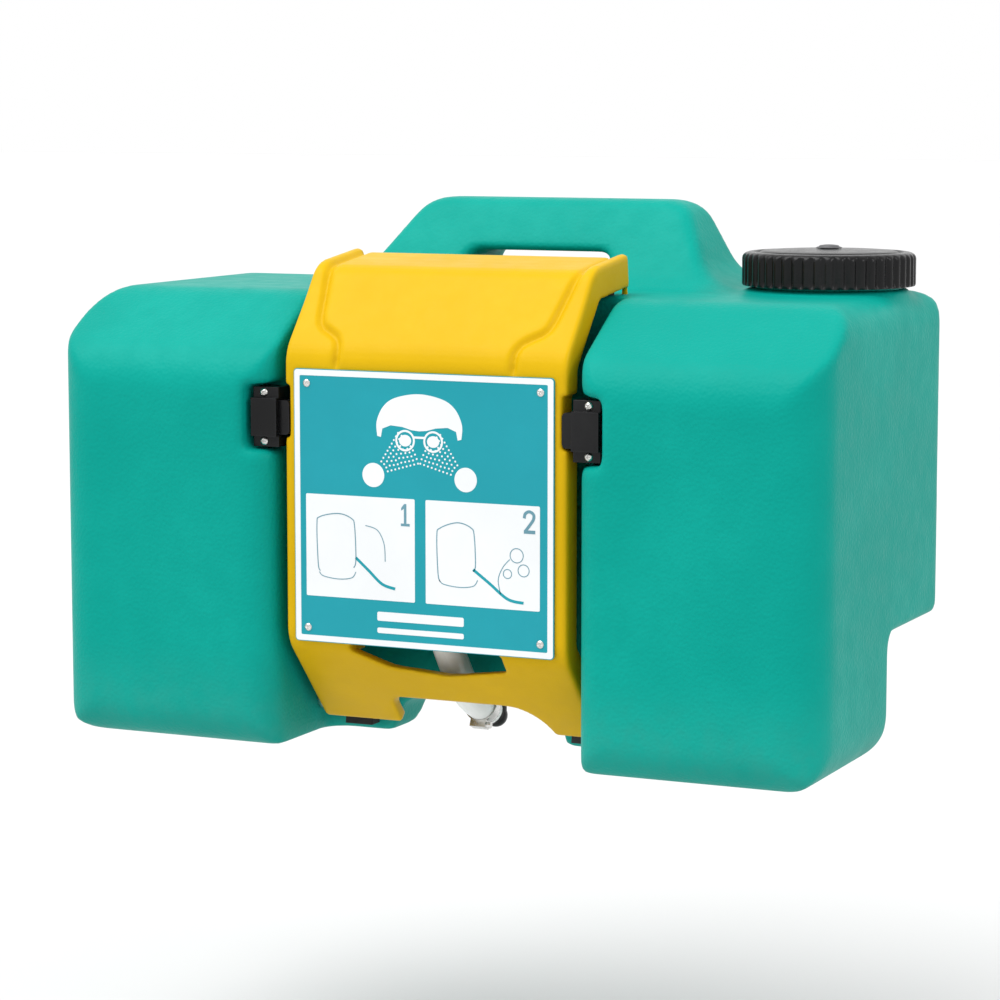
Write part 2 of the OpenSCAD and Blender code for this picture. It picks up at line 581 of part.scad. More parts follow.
module dust_lid(s) color([0.1, 0.55, 0.3]) at_head(s * head_gap / 2) difference() {
  union() {
    translate([0, 0, head_top + gap]) cylinder(h = 2, r = head_r + 1.5);
    translate([0, 0, head_top - 3]) cylinder(h = 3.5, r = head_r + 1.5);
    translate([-5, head_r - 4, head_top - 0.5]) cube([10, 8.5, 2 + gap + 0.5]);
    translate([-5, head_r + 2, lid_axis[1]])
      cube([10, lid_axis[0] + 2.8 - head_r - 2, head_top + gap + 2 - lid_axis[1]]);
    translate([-5, lid_axis[0], lid_axis[1]]) rotate([0, 90, 0]) cylinder(h = 10, r = 2.8);
  }
  translate([0, 0, head_top - 4]) cylinder(h = 4 + gap, r = head_r + gap);
  translate([-6, lid_axis[0], lid_axis[1]]) rotate([0, 90, 0]) cylinder(h = 12, r = 1 + 2 * slip);
  for (x = [-1, 1]) translate([x * 7 - 2, head_r - 4, head_top - 6]) cube([4, 8, 6 + gap]);
}

module lid_pins() color("silver") for (s = [-1, 1]) at_head(s * head_gap / 2)
  translate([-8.7, lid_axis[0], lid_axis[1]]) rotate([0, 90, 0]) cylinder(h = 17.4, r = 1);

// The hose: a tube swept along its route, all in the plane x = 0
hose_sides = 12;
hose_rings = len(hose_route);
function dir(i) = let (a = hose_route[max(i - 1, 0)], b = hose_route[min(i + 1, hose_rings - 1)])
  (b - a) / norm(b - a);
function hose_pt(i, j, r) = let (u = dir(i), c = 360 * j / hose_sides)
  [r * cos(c), front + hose_route[i][0] - u[1] * r * sin(c), hose_route[i][1] + u[0] * r * sin(c)];
function id(s, i, j) = (s * hose_rings + i) * hose_sides + j % hose_sides;
module hose() color([0.93, 0.93, 0.92]) polyhedron(
  points = [for (r = [hose_od / 2, hose_id / 2], i = [0:hose_rings - 1], j = [0:hose_sides - 1])
    hose_pt(i, j, r)],
  faces = [for (j = [0:hose_sides - 1]) each concat(
    [for (i = [0:hose_rings - 2]) each [[id(0, i, j), id(0, i, j + 1), id(0, i + 1, j + 1)],
      [id(0, i, j), id(0, i + 1, j + 1), id(0, i + 1, j)],
      [id(1, i, j), id(1, i + 1, j + 1), id(1, i, j + 1)],
      [id(1, i, j), id(1, i + 1, j), id(1, i + 1, j + 1)]]],
    [[id(0, 0, j), id(1, 0, j), id(1, 0, j + 1)], [id(0, 0, j), id(1, 0, j + 1), id(0, 0, j + 1)],
      [id(0, hose_rings - 1, j), id(1, hose_rings - 1, j + 1), id(1, hose_rings - 1, j)],
      [id(0, hose_rings - 1, j), id(0, hose_rings - 1, j + 1), id(1, hose_rings - 1, j + 1)]])]);

// Saddle clips that hold the hose against the arm
module hose_clips() color([0.1, 0.1, 0.11])
  for (z = clip_z) translate([0, front + hose_y, z - 7]) difference() {
  union() {
    cylinder(h = 14, r = hose_od / 2 + 2.6);
    translate([-hose_od / 2 - 2.6, arm_wall - hose_od / 2 - 2, 0]) cube([hose_od + 5.2, hose_od / 2 - 2, 14]);
    translate([-24, arm_wall - hose_od / 2 - 1 + slip, 0]) cube([48, 2.5, 14]);
  }
  translate([0, 0, -1]) cylinder(h = 16, r = hose_od / 2 + gap);
  translate([-hose_od / 2 - gap, -30, -1]) cube([hose_od + 2 * gap, 30, 16]);
  translate([-30, -40, -1]) cube([60, 39 - hose_od / 2 + arm_wall + slip, 16]);
  for (x = [-1, 1]) translate([x * 18.5, -20, 7]) rotate([-90, 0, 0]) cylinder(h = 40, r = 1.75 + slip);
}

module clip_screws() color("silver") for (x = [-1, 1], z = clip_z) {
  rod_y(x * 18.5, arm_set + 1.7, z, 1.75, arm_wall + 5);
  rod_y(x * 18.5, arm_set + arm_wall + 6.7, z, 3, 1.6);
}

tank();
filler_cap();
cap_gasket();
vent_plug();
outlet_fitting();
outlet_nut();
outlet_gasket();
outlet_strainer();
outlet_hose_clamp();
mirror([1, 0, 0]) catch_housing();  // catch_housing_left
catch_housing();  // catch_housing_right
mirror([1, 0, 0]) catch_plunger();  // catch_plunger_left
catch_plunger();  // catch_plunger_right
mirror([1, 0, 0]) catch_spring();  // catch_spring_left
catch_spring();  // catch_spring_right
catch_screws();
mirror([1, 0, 0]) pivot_bolt();  // pivot_bolt_left
pivot_bolt();  // pivot_bolt_right
pivot_inserts();
pivot_washers();
arm_stop_pads();
arm_rest_buffers();
arm_shell();
mirror([1, 0, 0]) pivot_bush();  // pivot_bush_left
pivot_bush();  // pivot_bush_right
sign_plate();
sign_screws();
spray_manifold();
spray_head(-1);  // spray_head_left
spray_head(1);  // spray_head_right
spray_rose(-1);  // spray_rose_left
spray_rose(1);  // spray_rose_right
head_strainers();
head_screws();
dust_lid(-1);  // dust_lid_left
dust_lid(1);  // dust_lid_right
lid_pins();
hose();
manifold_hose_clamp();
hose_clips();
clip_screws();
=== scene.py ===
import json
import math

import bpy
import numpy as np
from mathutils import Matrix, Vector


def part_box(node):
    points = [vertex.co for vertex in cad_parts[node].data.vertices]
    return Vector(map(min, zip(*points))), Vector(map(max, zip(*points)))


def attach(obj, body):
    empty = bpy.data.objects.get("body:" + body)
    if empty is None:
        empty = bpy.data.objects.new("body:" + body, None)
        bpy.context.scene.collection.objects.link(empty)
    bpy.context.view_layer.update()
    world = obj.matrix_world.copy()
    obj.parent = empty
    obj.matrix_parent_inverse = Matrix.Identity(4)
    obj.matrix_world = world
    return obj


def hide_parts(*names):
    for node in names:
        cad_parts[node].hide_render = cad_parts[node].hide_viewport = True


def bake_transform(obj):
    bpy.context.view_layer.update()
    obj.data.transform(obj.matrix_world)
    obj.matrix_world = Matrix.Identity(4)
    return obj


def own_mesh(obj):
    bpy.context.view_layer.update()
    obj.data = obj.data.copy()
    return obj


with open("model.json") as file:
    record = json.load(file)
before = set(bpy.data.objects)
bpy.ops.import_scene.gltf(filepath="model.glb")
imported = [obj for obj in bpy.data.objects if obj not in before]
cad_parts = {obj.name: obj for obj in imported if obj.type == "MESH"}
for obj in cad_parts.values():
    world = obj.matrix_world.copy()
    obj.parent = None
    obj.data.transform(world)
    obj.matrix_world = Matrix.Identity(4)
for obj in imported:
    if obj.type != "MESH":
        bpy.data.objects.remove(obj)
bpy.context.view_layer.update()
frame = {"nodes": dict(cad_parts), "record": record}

MM = 0.001

# ---------------------------------------------------------------------------
# Sizes that repeat the CAD model's, in mm, in its frame. Depths are measured
# from the tank's front plane, so y = depth + FRONT.
# ---------------------------------------------------------------------------
lo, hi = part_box("tank")
TANK_W = (hi.x - lo.x) / MM
TANK_D = (hi.y - lo.y) / MM
FRONT = lo.y / MM
BACK = hi.y / MM
TANK_H = 320.0
HANDLE_TOP = hi.z / MM
CHAMBER_WALL = 11.0
EDGE_R = 25.0
FRONT_R = 33.0   # the upright front edges, softer than the CAD's
HANDLE_R = 7.0   # edges of the handle
HANDLE_FILLET = 9.0
LOWER_D = 152.0
STEP_Z = 88.0
RECESS_W = 230.0
RECESS_D = 100.0
ARM_W = 214.0
ARM_T = 20.0
ARM_WALL = 4.0
ARM_SET = 12.0
CREASE_Z = 78.0
PIVOT = (78.0, 26.0)
PIVOT_EAR_R = 11.0
PIVOT_HOLE_R = 6.0
CATCH_Z = 235.0
POCKET_HALF = 23.0
SEAT_AT, SEAT_R, SEAT_TOP = 132.0, 16.0, 36.0
NICHE_R, NICHE_TOP, NICHE_BEND = 13.5, 46.0, 32.5
BOSS_R = 4.5
SIGN_INSET = 10.0
CLIP_Z = (140, 198)
CLIP_SCREW_X = 18.5
CREASE_TOP = TANK_H - 38
SLOPE_LENGTH = 73.8
NECK_AXIS = (TANK_W / 2 - 66.0, BACK - 74.0)
NECK_R = 52.0
NECK_FLANGE = 5.0
BORE_R = 46.0
SLOPE = math.atan2(56.0, 48.0)

TANK_SIDE = [(0, 0, 27), (LOWER_D, 0, 18), (LOWER_D, STEP_Z, 12), (TANK_D, STEP_Z, 18),
             (TANK_D, TANK_H, EDGE_R), (74, TANK_H, 40), (0, TANK_H - 46, 40)]
TANK_PLAN = [(-TANK_W / 2, BACK, EDGE_R), (-TANK_W / 2, FRONT, FRONT_R), (-RECESS_W / 2, FRONT, 23),
             (-RECESS_W / 2, FRONT + RECESS_D, 14), (RECESS_W / 2, FRONT + RECESS_D, 14),
             (RECESS_W / 2, FRONT, 23), (TANK_W / 2, FRONT, FRONT_R), (TANK_W / 2, BACK, EDGE_R)]
TANK_FACE = [(-TANK_W / 2, 0, 30), (TANK_W / 2, 0, 30), (TANK_W / 2, TANK_H, 24),
             (-TANK_W / 2, TANK_H, 24)]
ARCH = [(-74, -30, 0), (74, -30, 0), (62, 25, 16), (-62, 25, 16)]
HANDLE_FACE = [(-158, 298, 0), (158, 298, 0), (158, 318, 0), (132, 334, 40), (103, HANDLE_TOP, 30),
               (-103, HANDLE_TOP, 30), (-132, 334, 40), (-158, 318, 0)]
GRIP = [(-58, TANK_H, 7), (58, TANK_H, 7), (58, TANK_H + 24, 10), (-58, TANK_H + 24, 10)]
HANDLE_SIDE = [(TANK_D - 104, 298, 0), (TANK_D - 3, 298, 0), (TANK_D - 3, HANDLE_TOP, 18),
               (TANK_D - 42, HANDLE_TOP, 16), (TANK_D - 80, TANK_H + 20, 30), (TANK_D - 104, TANK_H - 4, 0)]
ARM_LINE = [(70, 14, 0), (ARM_SET, CREASE_Z, 28), (ARM_SET, TANK_H - 38, 28), (60, TANK_H + 18, 24),
            (RECESS_D + 18, TANK_H + 25, 0)]
SLOT = [(-60, CREASE_Z - 4, 4), (-34, 62, 30), (10, 58, 60), (57, 65, 3), (57, CREASE_Z, 2),
        (-60, CREASE_Z, 1)]
NOTCH = [(-45, -20, 0), (76, -20, 0), (76, 36, 32), (-45, 36, 7)]
SIGN_W, SIGN_H, SIGN_T = 197.0, 191.0, 1.6
SIGN_Z = CREASE_Z + 1 + SIGN_H / 2
HOSE_OD, HOSE_ID = 22.0, 17.5
HOSE_ROUTE = [(118.9, 18.1), (109.2, 22.6), (99.4, 27.2), (90, 32.6), (81, 39.2), (73, 47), (65, 56.5),
              (57, 67), (49, 78.5), (41.5, 90), (35, 101), (30.8, 110), (28.6, 119), (28, 130), (28, 145),
              (28, 160), (28, 175), (28, 190), (28, 206), (28.6, 217), (29.6, 228), (32.2, 240),
              (36, 253.5), (40.1, 267)]


# ---------------------------------------------------------------------------
# Materials
# ---------------------------------------------------------------------------
def nodes_of(mat):
    """A fresh node tree with one shader on its output."""
    mat.use_nodes = True
    tree = mat.node_tree
    tree.nodes.clear()
    out = tree.nodes.new("ShaderNodeOutputMaterial")
    shader = tree.nodes.new("ShaderNodeBsdfPrincipled")
    tree.links.new(shader.outputs[0], out.inputs[0])
    return tree, shader


def node(tree, kind, **values):
    n = tree.nodes.new(kind)
    for k, v in values.items():
        if hasattr(n, k):
            setattr(n, k, v)
        else:
            n.inputs[k.replace("_", " ")].default_value = v
    return n


def noise(tree, where, scale, detail=3.0, rough=0.5, stretch=None):
    n = node(tree, "ShaderNodeTexNoise", Scale=scale, Detail=detail, Roughness=rough)
    if stretch:
        m = node(tree, "ShaderNodeMapping")
        m.inputs["Scale"].default_value = stretch
        tree.links.new(where, m.inputs["Vector"])
        where = m.outputs[0]
    tree.links.new(where, n.inputs["Vector"])
    return n.outputs["Fac"]


def ramp(tree, value, a, b, low=0.0, high=1.0):
    n = node(tree, "ShaderNodeMapRange")
    n.interpolation_type = "SMOOTHSTEP"
    n.inputs["From Min"].default_value = a
    n.inputs["From Max"].default_value = b
    n.inputs["To Min"].default_value = low
    n.inputs["To Max"].default_value = high
    tree.links.new(value, n.inputs["Value"])
    return n.outputs[0]


def mix(tree, fac, a, b):
    n = node(tree, "ShaderNodeMix", data_type="RGBA")
    for socket, v in ((n.inputs[0], fac), (n.inputs[6], a), (n.inputs[7], b)):
        if isinstance(v, bpy.types.NodeSocket):
            tree.links.new(v, socket)
        elif socket is n.inputs[0]:
            socket.default_value = v
        else:
            socket.default_value = (*v, 1.0)
    return n.outputs[2]


DUST_TOP = 0.08
DUST_COLOUR = (0.42, 0.41, 0.37)
BRUSH_DEPTH = 0.03
WORN_EDGE_R = 0.0018


def raised(tree, height, distance, normal):
    """A bump of that many mm over the normal made so far."""
    bump = node(tree, "ShaderNodeBump")
    bump.inputs["Strength"].default_value = 1.0
    bump.inputs["Distance"].default_value = distance * MM
    tree.links.new(height, bump.inputs["Height"])
    if normal is not None:
        tree.links.new(normal, bump.inputs["Normal"])
    return bump.outputs[0]


def product(tree, a, b):
    n = node(tree, "ShaderNodeMath", operation="MULTIPLY")
    tree.links.new(a, n.inputs[0])
    if isinstance(b, float):
        n.inputs[1].default_value = b
    else:
        tree.links.new(b, n.inputs[1])
    return n.outputs[0]


def finish_of(name, colour, rough, blotch=0.08, grain=0.0, grain_scale=900.0, dimple=0.0,
              dimple_scale=260.0, scuffs=0.0, scuff_colour=None, edge=0.0, edge_colour=None, brushed=None,
              rough_spread=0.08, dust=0.0, metallic=0.0, coat=0.0, soft_light=0.0, through=0.0, ior=1.5,
              specular=0.5):
    """A procedural finish: blotched colour, grain and dimples, scuffs, worn edges, dust near the base."""
    mat = bpy.data.materials.new(name)
    tree, shader = nodes_of(mat)
    link = tree.links.new
    where = node(tree, "ShaderNodeTexCoord").outputs["Object"]
    broad = noise(tree, where, 9.0, 4.0, 0.55)
    middle = noise(tree, where, 60.0, 5.0, 0.6)
    darker = tuple(c * (1 - blotch) for c in colour)
    lighter = tuple(min(1.0, c * (1 + blotch) + blotch * 0.02) for c in colour)
    tint = mix(tree, ramp(tree, broad, 0.3, 0.7), darker, lighter)
    tint = mix(tree, ramp(tree, middle, 0.35, 0.7, 0.0, 0.5), tint, tuple(c * (1 - blotch * 0.7) for c in colour))
    roughness = ramp(tree, middle, 0.3, 0.7, rough - rough_spread / 2, rough + rough_spread / 2)
    if scuffs:
        marks = noise(tree, where, 34.0, 8.0, 0.75, stretch=(1.0, 1.0, 0.35))
        patch = noise(tree, where, 6.0, 2.0, 0.5)
        worn = product(tree, ramp(tree, marks, 0.6, 0.72), ramp(tree, patch, 0.45, 0.65, 0.0, scuffs))
        tint = mix(tree, worn, tint, scuff_colour)
        more = node(tree, "ShaderNodeMath", operation="ADD")
        link(roughness, more.inputs[0])
        link(product(tree, worn, 0.25), more.inputs[1])
        roughness = more.outputs[0]
    if edge:
        bevel = node(tree, "ShaderNodeBevel", samples=4)
        bevel.inputs["Radius"].default_value = WORN_EDGE_R
        geo = node(tree, "ShaderNodeNewGeometry")
        dot = node(tree, "ShaderNodeVectorMath", operation="DOT_PRODUCT")
        link(bevel.outputs[0], dot.inputs[0])
        link(geo.outputs["Normal"], dot.inputs[1])
        rubbed = product(tree, ramp(tree, dot.outputs["Value"], 0.995, 0.9),
                         ramp(tree, middle, 0.4, 0.6, 0.2 * edge, edge))
        tint = mix(tree, rubbed, tint, edge_colour or tuple(min(1.0, c * 1.3 + 0.05) for c in colour))
    if dust:
        split = node(tree, "ShaderNodeSeparateXYZ")
        link(where, split.inputs[0])
        haze = product(tree, ramp(tree, split.outputs["Z"], 0.0, DUST_TOP, dust, 0.0),
                       ramp(tree, middle, 0.3, 0.75, 0.35, 1.0))
        tint = mix(tree, haze, tint, DUST_COLOUR)
    link(tint, shader.inputs["Base Color"])
    link(roughness, shader.inputs["Roughness"])
    normal = None
    if dimple:
        cells = node(tree, "ShaderNodeTexVoronoi", feature="SMOOTH_F1", Scale=dimple_scale)
        cells.inputs["Smoothness"].default_value = 0.8
        link(where, cells.inputs["Vector"])
        normal = raised(tree, cells.outputs["Distance"], dimple, normal)
    if grain:
        normal = raised(tree, noise(tree, where, grain_scale, 4.0, 0.6), grain, normal)
    if brushed:
        normal = raised(tree, noise(tree, where, 500.0, 3.0, 0.6, stretch=brushed), BRUSH_DEPTH, normal)
    if normal is not None:
        link(normal, shader.inputs["Normal"])
    shader.inputs["Metallic"].default_value = metallic
    shader.inputs["Coat Weight"].default_value = coat
    shader.inputs["Coat Roughness"].default_value = 0.15
    shader.inputs["IOR"].default_value = ior
    shader.inputs["Specular IOR Level"].default_value = specular
    if soft_light:
        shader.inputs["Subsurface Weight"].default_value = soft_light
        shader.inputs["Subsurface Radius"].default_value = (0.01, 0.01, 0.01)
        shader.inputs["Subsurface Scale"].default_value = 0.5
    if through:
        shader.inputs["Transmission Weight"].default_value = through
    return mat


GREEN = (0.001, 0.272, 0.222)
YELLOW = (0.56, 0.345, 0.003)
M = {
    "tank_plastic": finish_of("tank_green", GREEN, 0.42, blotch=0.06, grain=0.05, grain_scale=1100,
                              dimple=0.24, dimple_scale=420, scuffs=0.16, scuff_colour=(0.012, 0.33, 0.27),
                              dust=0.04, specular=0.05),
    "arm_plastic": finish_of("arm_yellow", YELLOW, 0.36, blotch=0.05, grain=0.05, grain_scale=1300, dimple=0.06,
                             dimple_scale=420, scuffs=0.22, scuff_colour=(0.60, 0.42, 0.03), edge=0.35,
                             edge_colour=(0.72, 0.50, 0.04), dust=0.05, specular=0.07),
    "black_plastic": finish_of("black_moulded", (0.004, 0.004, 0.0045), 0.24, blotch=0.25, grain=0.06,
                               grain_scale=1800, scuffs=0.14, scuff_colour=(0.04, 0.04, 0.04), edge=0.25,
                               edge_colour=(0.035, 0.035, 0.04), specular=0.2),
    "grey_plastic": finish_of("grey_moulded", (0.085, 0.085, 0.09), 0.5, blotch=0.15, grain=0.08,
                              grain_scale=1600),
    "white_plastic": finish_of("white_moulded", (0.78, 0.79, 0.78), 0.35, blotch=0.04, grain=0.04,
                               grain_scale=1500, edge=0.2),
    "lid_plastic": finish_of("lid_green", (0.015, 0.31, 0.13), 0.36, blotch=0.06, grain=0.05, grain_scale=1500,
                             edge=0.25),
    "nylon": finish_of("nylon_natural", (0.74, 0.73, 0.67), 0.45, blotch=0.05, grain=0.05, grain_scale=1500),
    "hose_silicone": finish_of("hose_clear_white", (0.80, 0.82, 0.80), 0.33, blotch=0.04, grain=0.05,
                               grain_scale=900, soft_light=0.35, through=0.12, ior=1.41),
    "black_rubber": finish_of("rubber_black", (0.016, 0.016, 0.016), 0.72, blotch=0.3, grain=0.2,
                              grain_scale=1200),
    "stainless": finish_of("stainless_bright", (0.62, 0.61, 0.59), 0.26, blotch=0.08, metallic=1.0,
                           brushed=(1.0, 1.0, 14.0), rough_spread=0.12),
    "brass": finish_of("brass_turned", (0.72, 0.53, 0.24), 0.3, blotch=0.1, metallic=1.0,
                       brushed=(14.0, 1.0, 1.0)),
    "sign_face": finish_of("sign_teal", (0.006, 0.262, 0.315), 0.34, blotch=0.04, grain=0.03, grain_scale=700,
                           scuffs=0.12, scuff_colour=(0.06, 0.38, 0.43), specular=0.2, coat=0.06),
    "print_white": finish_of("print_white", (0.69, 0.71, 0.72), 0.36, blotch=0.03, grain=0.02, grain_scale=700,
                             scuffs=0.15, scuff_colour=(0.62, 0.66, 0.66), specular=0.2, coat=0.06),
    "print_line": finish_of("print_line", (0.10, 0.24, 0.30), 0.4, blotch=0.1, grain=0.02, grain_scale=700),
}


# ---------------------------------------------------------------------------
# Mesh making
# ---------------------------------------------------------------------------
def piece(name, verts, faces, finish, body, stands_for=(), smooth=True, angle=None):
    """A piece from vertices in mm in the CAD frame."""
    mesh = bpy.data.meshes.new(name)
    verts = np.asarray(verts, float) * MM
    mesh.from_pydata(verts.tolist(), [], [tuple(int(i) for i in f) for f in faces])
    mesh.update()
    mesh.validate()
    obj = bpy.data.objects.new(name, mesh)
    bpy.context.scene.collection.objects.link(obj)
    mesh.materials.append(M[finish])
    mesh.polygons.foreach_set("use_smooth", [smooth] * len(mesh.polygons))
    if angle is not None:
        mesh.set_sharp_from_angle(angle=math.radians(angle))
    place(obj, body, stands_for)
    return obj


def place(obj, body, stands_for=()):
    if body:
        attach(obj, body)
    if stands_for:
        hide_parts(*stands_for)


def settle(obj):
    """Turns an object's modifiers into its mesh."""
    graph = bpy.context.evaluated_depsgraph_get()
    made = bpy.data.meshes.new_from_object(obj.evaluated_get(graph))
    old = obj.data
    obj.modifiers.clear()
    obj.data = made
    made.name = obj.name
    bpy.data.meshes.remove(old)


# ---- outlines and distance fields ----
def arc_line(points, steps=10):
    """A closed outline with its corners rounded by arcs."""
    out = []
    n = len(points)
    for i, (x, y, r) in enumerate(points):
        b = np.array([x, y], float)
        if r == 0:
            out.append(b)
            continue
        a = np.array(points[i - 1][:2], float)
        c = np.array(points[(i + 1) % n][:2], float)
        u = (a - b) / np.linalg.norm(a - b)
        v = (c - b) / np.linalg.norm(c - b)
        half = math.acos(float(np.clip(u @ v, -1, 1))) / 2
        p0 = b + u * r / math.tan(half)
        p1 = b + v * r / math.tan(half)
        w = (u + v) / np.linalg.norm(u + v)
        centre = b + w * r / math.sin(half)
        a0 = math.atan2(*(p0 - centre)[::-1])
        turn = (math.atan2(*(p1 - centre)[::-1]) - a0 + math.pi) % (2 * math.pi) - math.pi
        for k in range(steps + 1):
            t = a0 + turn * k / steps
            out.append(centre + r * np.array([math.cos(t), math.sin(t)]))
    return np.array(out)


def outline_distance(px, py, line):
    """Signed distance to a closed outline, negative inside."""
    px, py = np.broadcast_arrays(px, py)
    best = np.full(px.shape, 1e12)
    inside = np.zeros(px.shape, bool)
    for i in range(len(line)):
        a, b = line[i - 1], line[i]
        e = b - a
        size = float(e @ e)
        if size < 1e-12:
            continue
        wx, wy = px - a[0], py - a[1]
        t = np.clip((wx * e[0] + wy * e[1]) / size, 0, 1)
        best = np.minimum(best, (wx - t * e[0]) ** 2 + (wy - t * e[1]) ** 2)
        if e[1] != 0:
            crosses = ((a[1] <= py) & (b[1] > py)) | ((b[1] <= py) & (a[1] > py))
            inside ^= crosses & (px < a[0] + wy / e[1] * e[0])
    return np.where(inside, -1, 1) * np.sqrt(best)


def segment_distance(px, py, line):
    """Distance to an open line."""
    px, py = np.broadcast_arrays(px, py)
    best = np.full(px.shape, 1e12)
    for a, b in zip(line[:-1], line[1:]):
        a, b = np.array(a, float), np.array(b, float)
        e = b - a
        wx, wy = px - a[0], py - a[1]
        t = np.clip((wx * e[0] + wy * e[1]) / float(e @ e), 0, 1)
        best = np.minimum(best, (wx - t * e[0]) ** 2 + (wy - t * e[1]) ** 2)
    return np.sqrt(best)


def both(a, b, r=0.0):
    """What two shapes share, with the edge between them rounded by r."""
    if not r:
        return np.maximum(a, b)
    m = np.maximum(a, b)
    return np.minimum(-r, m) + np.hypot(np.maximum(a + r, 0), np.maximum(b + r, 0))


def either(a, b, r=0.0):
    """Two shapes together, with the corner between them filled by radius r."""
    return -both(-a, -b, r)


def cut(a, b, r=0.0):
    return both(a, -b, r)


def span(v, a, b):
    return np.maximum(a - v, v - b)


def blur(f, cells):
    """Softens every edge of a field and leaves its flat parts as they are."""
    reach = int(math.ceil(3 * cells))
    k = np.exp(-0.5 * (np.arange(-reach, reach + 1) / cells) ** 2)
    k /= k.sum()
    for axis in range(3):
        pad = [(0, 0)] * 3
        pad[axis] = (reach, reach)
        p = np.pad(f, pad, mode="edge")
        out = np.zeros_like(f)
        for i, w in enumerate(k):
            sl = [slice(None)] * 3
            sl[axis] = slice(i, i + f.shape[axis])
            out += w * p[tuple(sl)]
        f = out
    return f


def grid(lo_mm, hi_mm, step):
    axes = [np.arange(a, b + step, step) for a, b in zip(lo_mm, hi_mm)]
    return (axes[0][:, None, None], axes[1][None, :, None], axes[2][None, None, :])


def nets(field, start, step):
    """A closed quad mesh on the zero level of a field (negative inside)."""
    f = np.asarray(field, float)
    n = np.array(f.shape) - 1
    total = np.zeros((*n, 3))
    count = np.zeros(n, np.int32)
    for axis in range(3):
        others = [a for a in range(3) if a != axis]
        for s in (0, 1):
            for t in (0, 1):
                off = [0, 0, 0]
                off[others[0]], off[others[1]] = s, t
                sl = tuple(slice(o, o + m) for o, m in zip(off, n))
                off2 = list(off)
                off2[axis] = 1
                sl2 = tuple(slice(o, o + m) for o, m in zip(off2, n))
                a, b = f[sl], f[sl2]
                hit = (a < 0) != (b < 0)
                at = np.where(hit, a / np.where(hit, a - b, 1), 0)
                count += hit
                for k in range(3):
                    total[..., k] += np.where(hit, at if k == axis else off[k], 0)
    used = count > 0
    ids = np.full(n, -1, np.int64)
    ids[used] = np.arange(int(used.sum()))
    cells = np.argwhere(used)
    verts = (cells + total[used] / count[used][:, None]) * step + np.array(start)
    faces = []
    for axis in range(3):
        b_axis, c_axis = (axis + 1) % 3, (axis + 2) % 3
        sl = [slice(None)] * 3
        sl[axis] = slice(0, n[axis])
        sl[b_axis] = slice(1, n[b_axis])
        sl[c_axis] = slice(1, n[c_axis])
        sl2 = list(sl)
        sl2[axis] = slice(1, n[axis] + 1)
        a, b = f[tuple(sl)], f[tuple(sl2)]
        hit = np.argwhere((a < 0) != (b < 0))
        inside = (a < 0)[tuple(hit.T)]
        base = hit.copy()
        base[:, b_axis] += 1
        base[:, c_axis] += 1
        quad = []
        for db, dc in ((-1, -1), (0, -1), (0, 0), (-1, 0)):
            c = base.copy()
            c[:, b_axis] += db
            c[:, c_axis] += dc
            quad.append(ids[c[:, 0], c[:, 1], c[:, 2]])
        q = np.stack(quad, 1)
        q[~inside] = q[~inside][:, ::-1]
        faces.append(q)
    return verts, np.concatenate(faces)


def sample(f, start, step, p):
    """The field's value and slope at points, by trilinear steps."""
    q = (p - np.array(start)) / step
    i = np.clip(np.floor(q).astype(int), 0, np.array(f.shape) - 2)
    t = q - i
    c = np.zeros((2, 2, 2, len(p)))
    for a in (0, 1):
        for b in (0, 1):
            for d in (0, 1):
                c[a, b, d] = f[i[:, 0] + a, i[:, 1] + b, i[:, 2] + d]
    x, y, z = t.T
    cx = c[0] * (1 - x) + c[1] * x
    cxy = cx[0] * (1 - y) + cx[1] * y
    value = cxy[0] * (1 - z) + cxy[1] * z
    dx = c[1] - c[0]
    dx = dx[0] * (1 - y) + dx[1] * y
    dx = dx[0] * (1 - z) + dx[1] * z
    dy = cx[1] - cx[0]
    dy = dy[0] * (1 - z) + dy[1] * z
    dz = cxy[1] - cxy[0]
    return value, np.stack([dx, dy, dz], 1) / step


def without_crumbs(verts, faces):
    """The mesh without its small loose bits."""
    faces = np.asarray(faces, int)
    a, b = faces.ravel(), np.roll(faces, 1, axis=1).ravel()
    label = np.arange(len(verts))
    while True:
        low = np.minimum(label[a], label[b])
        new = label.copy()
        np.minimum.at(new, a, low)
        np.minimum.at(new, b, low)
        new = new[new]
        if (new == label).all():
            break
        label = new
    big = np.bincount(label, minlength=len(verts)) >= 0.02 * len(verts)
    held = big[label]
    order = np.cumsum(held) - 1
    return verts[held], order[faces[held[faces[:, 0]]]]


def skin(name, field, start, step, finish, body, stands_for=(), keep=1.0):
    """A piece on the zero level of a field, brought onto it exactly and thinned where it is flat."""
    verts, faces = without_crumbs(*nets(field, start, step))
    for _ in range(2):
        value, slope = sample(field, start, step, verts)
        size = np.maximum((slope ** 2).sum(1), 0.05)
        move = -(value / size)[:, None] * slope
        verts += np.clip(move, -0.4 * step, 0.4 * step)
    obj = piece(name, verts, faces, finish, body, stands_for)
    if keep < 1:
        thin = obj.modifiers.new("thin", "DECIMATE")
        thin.ratio = keep
        settle(obj)
        obj.data.polygons.foreach_set("use_smooth", [True] * len(obj.data.polygons))
    return obj


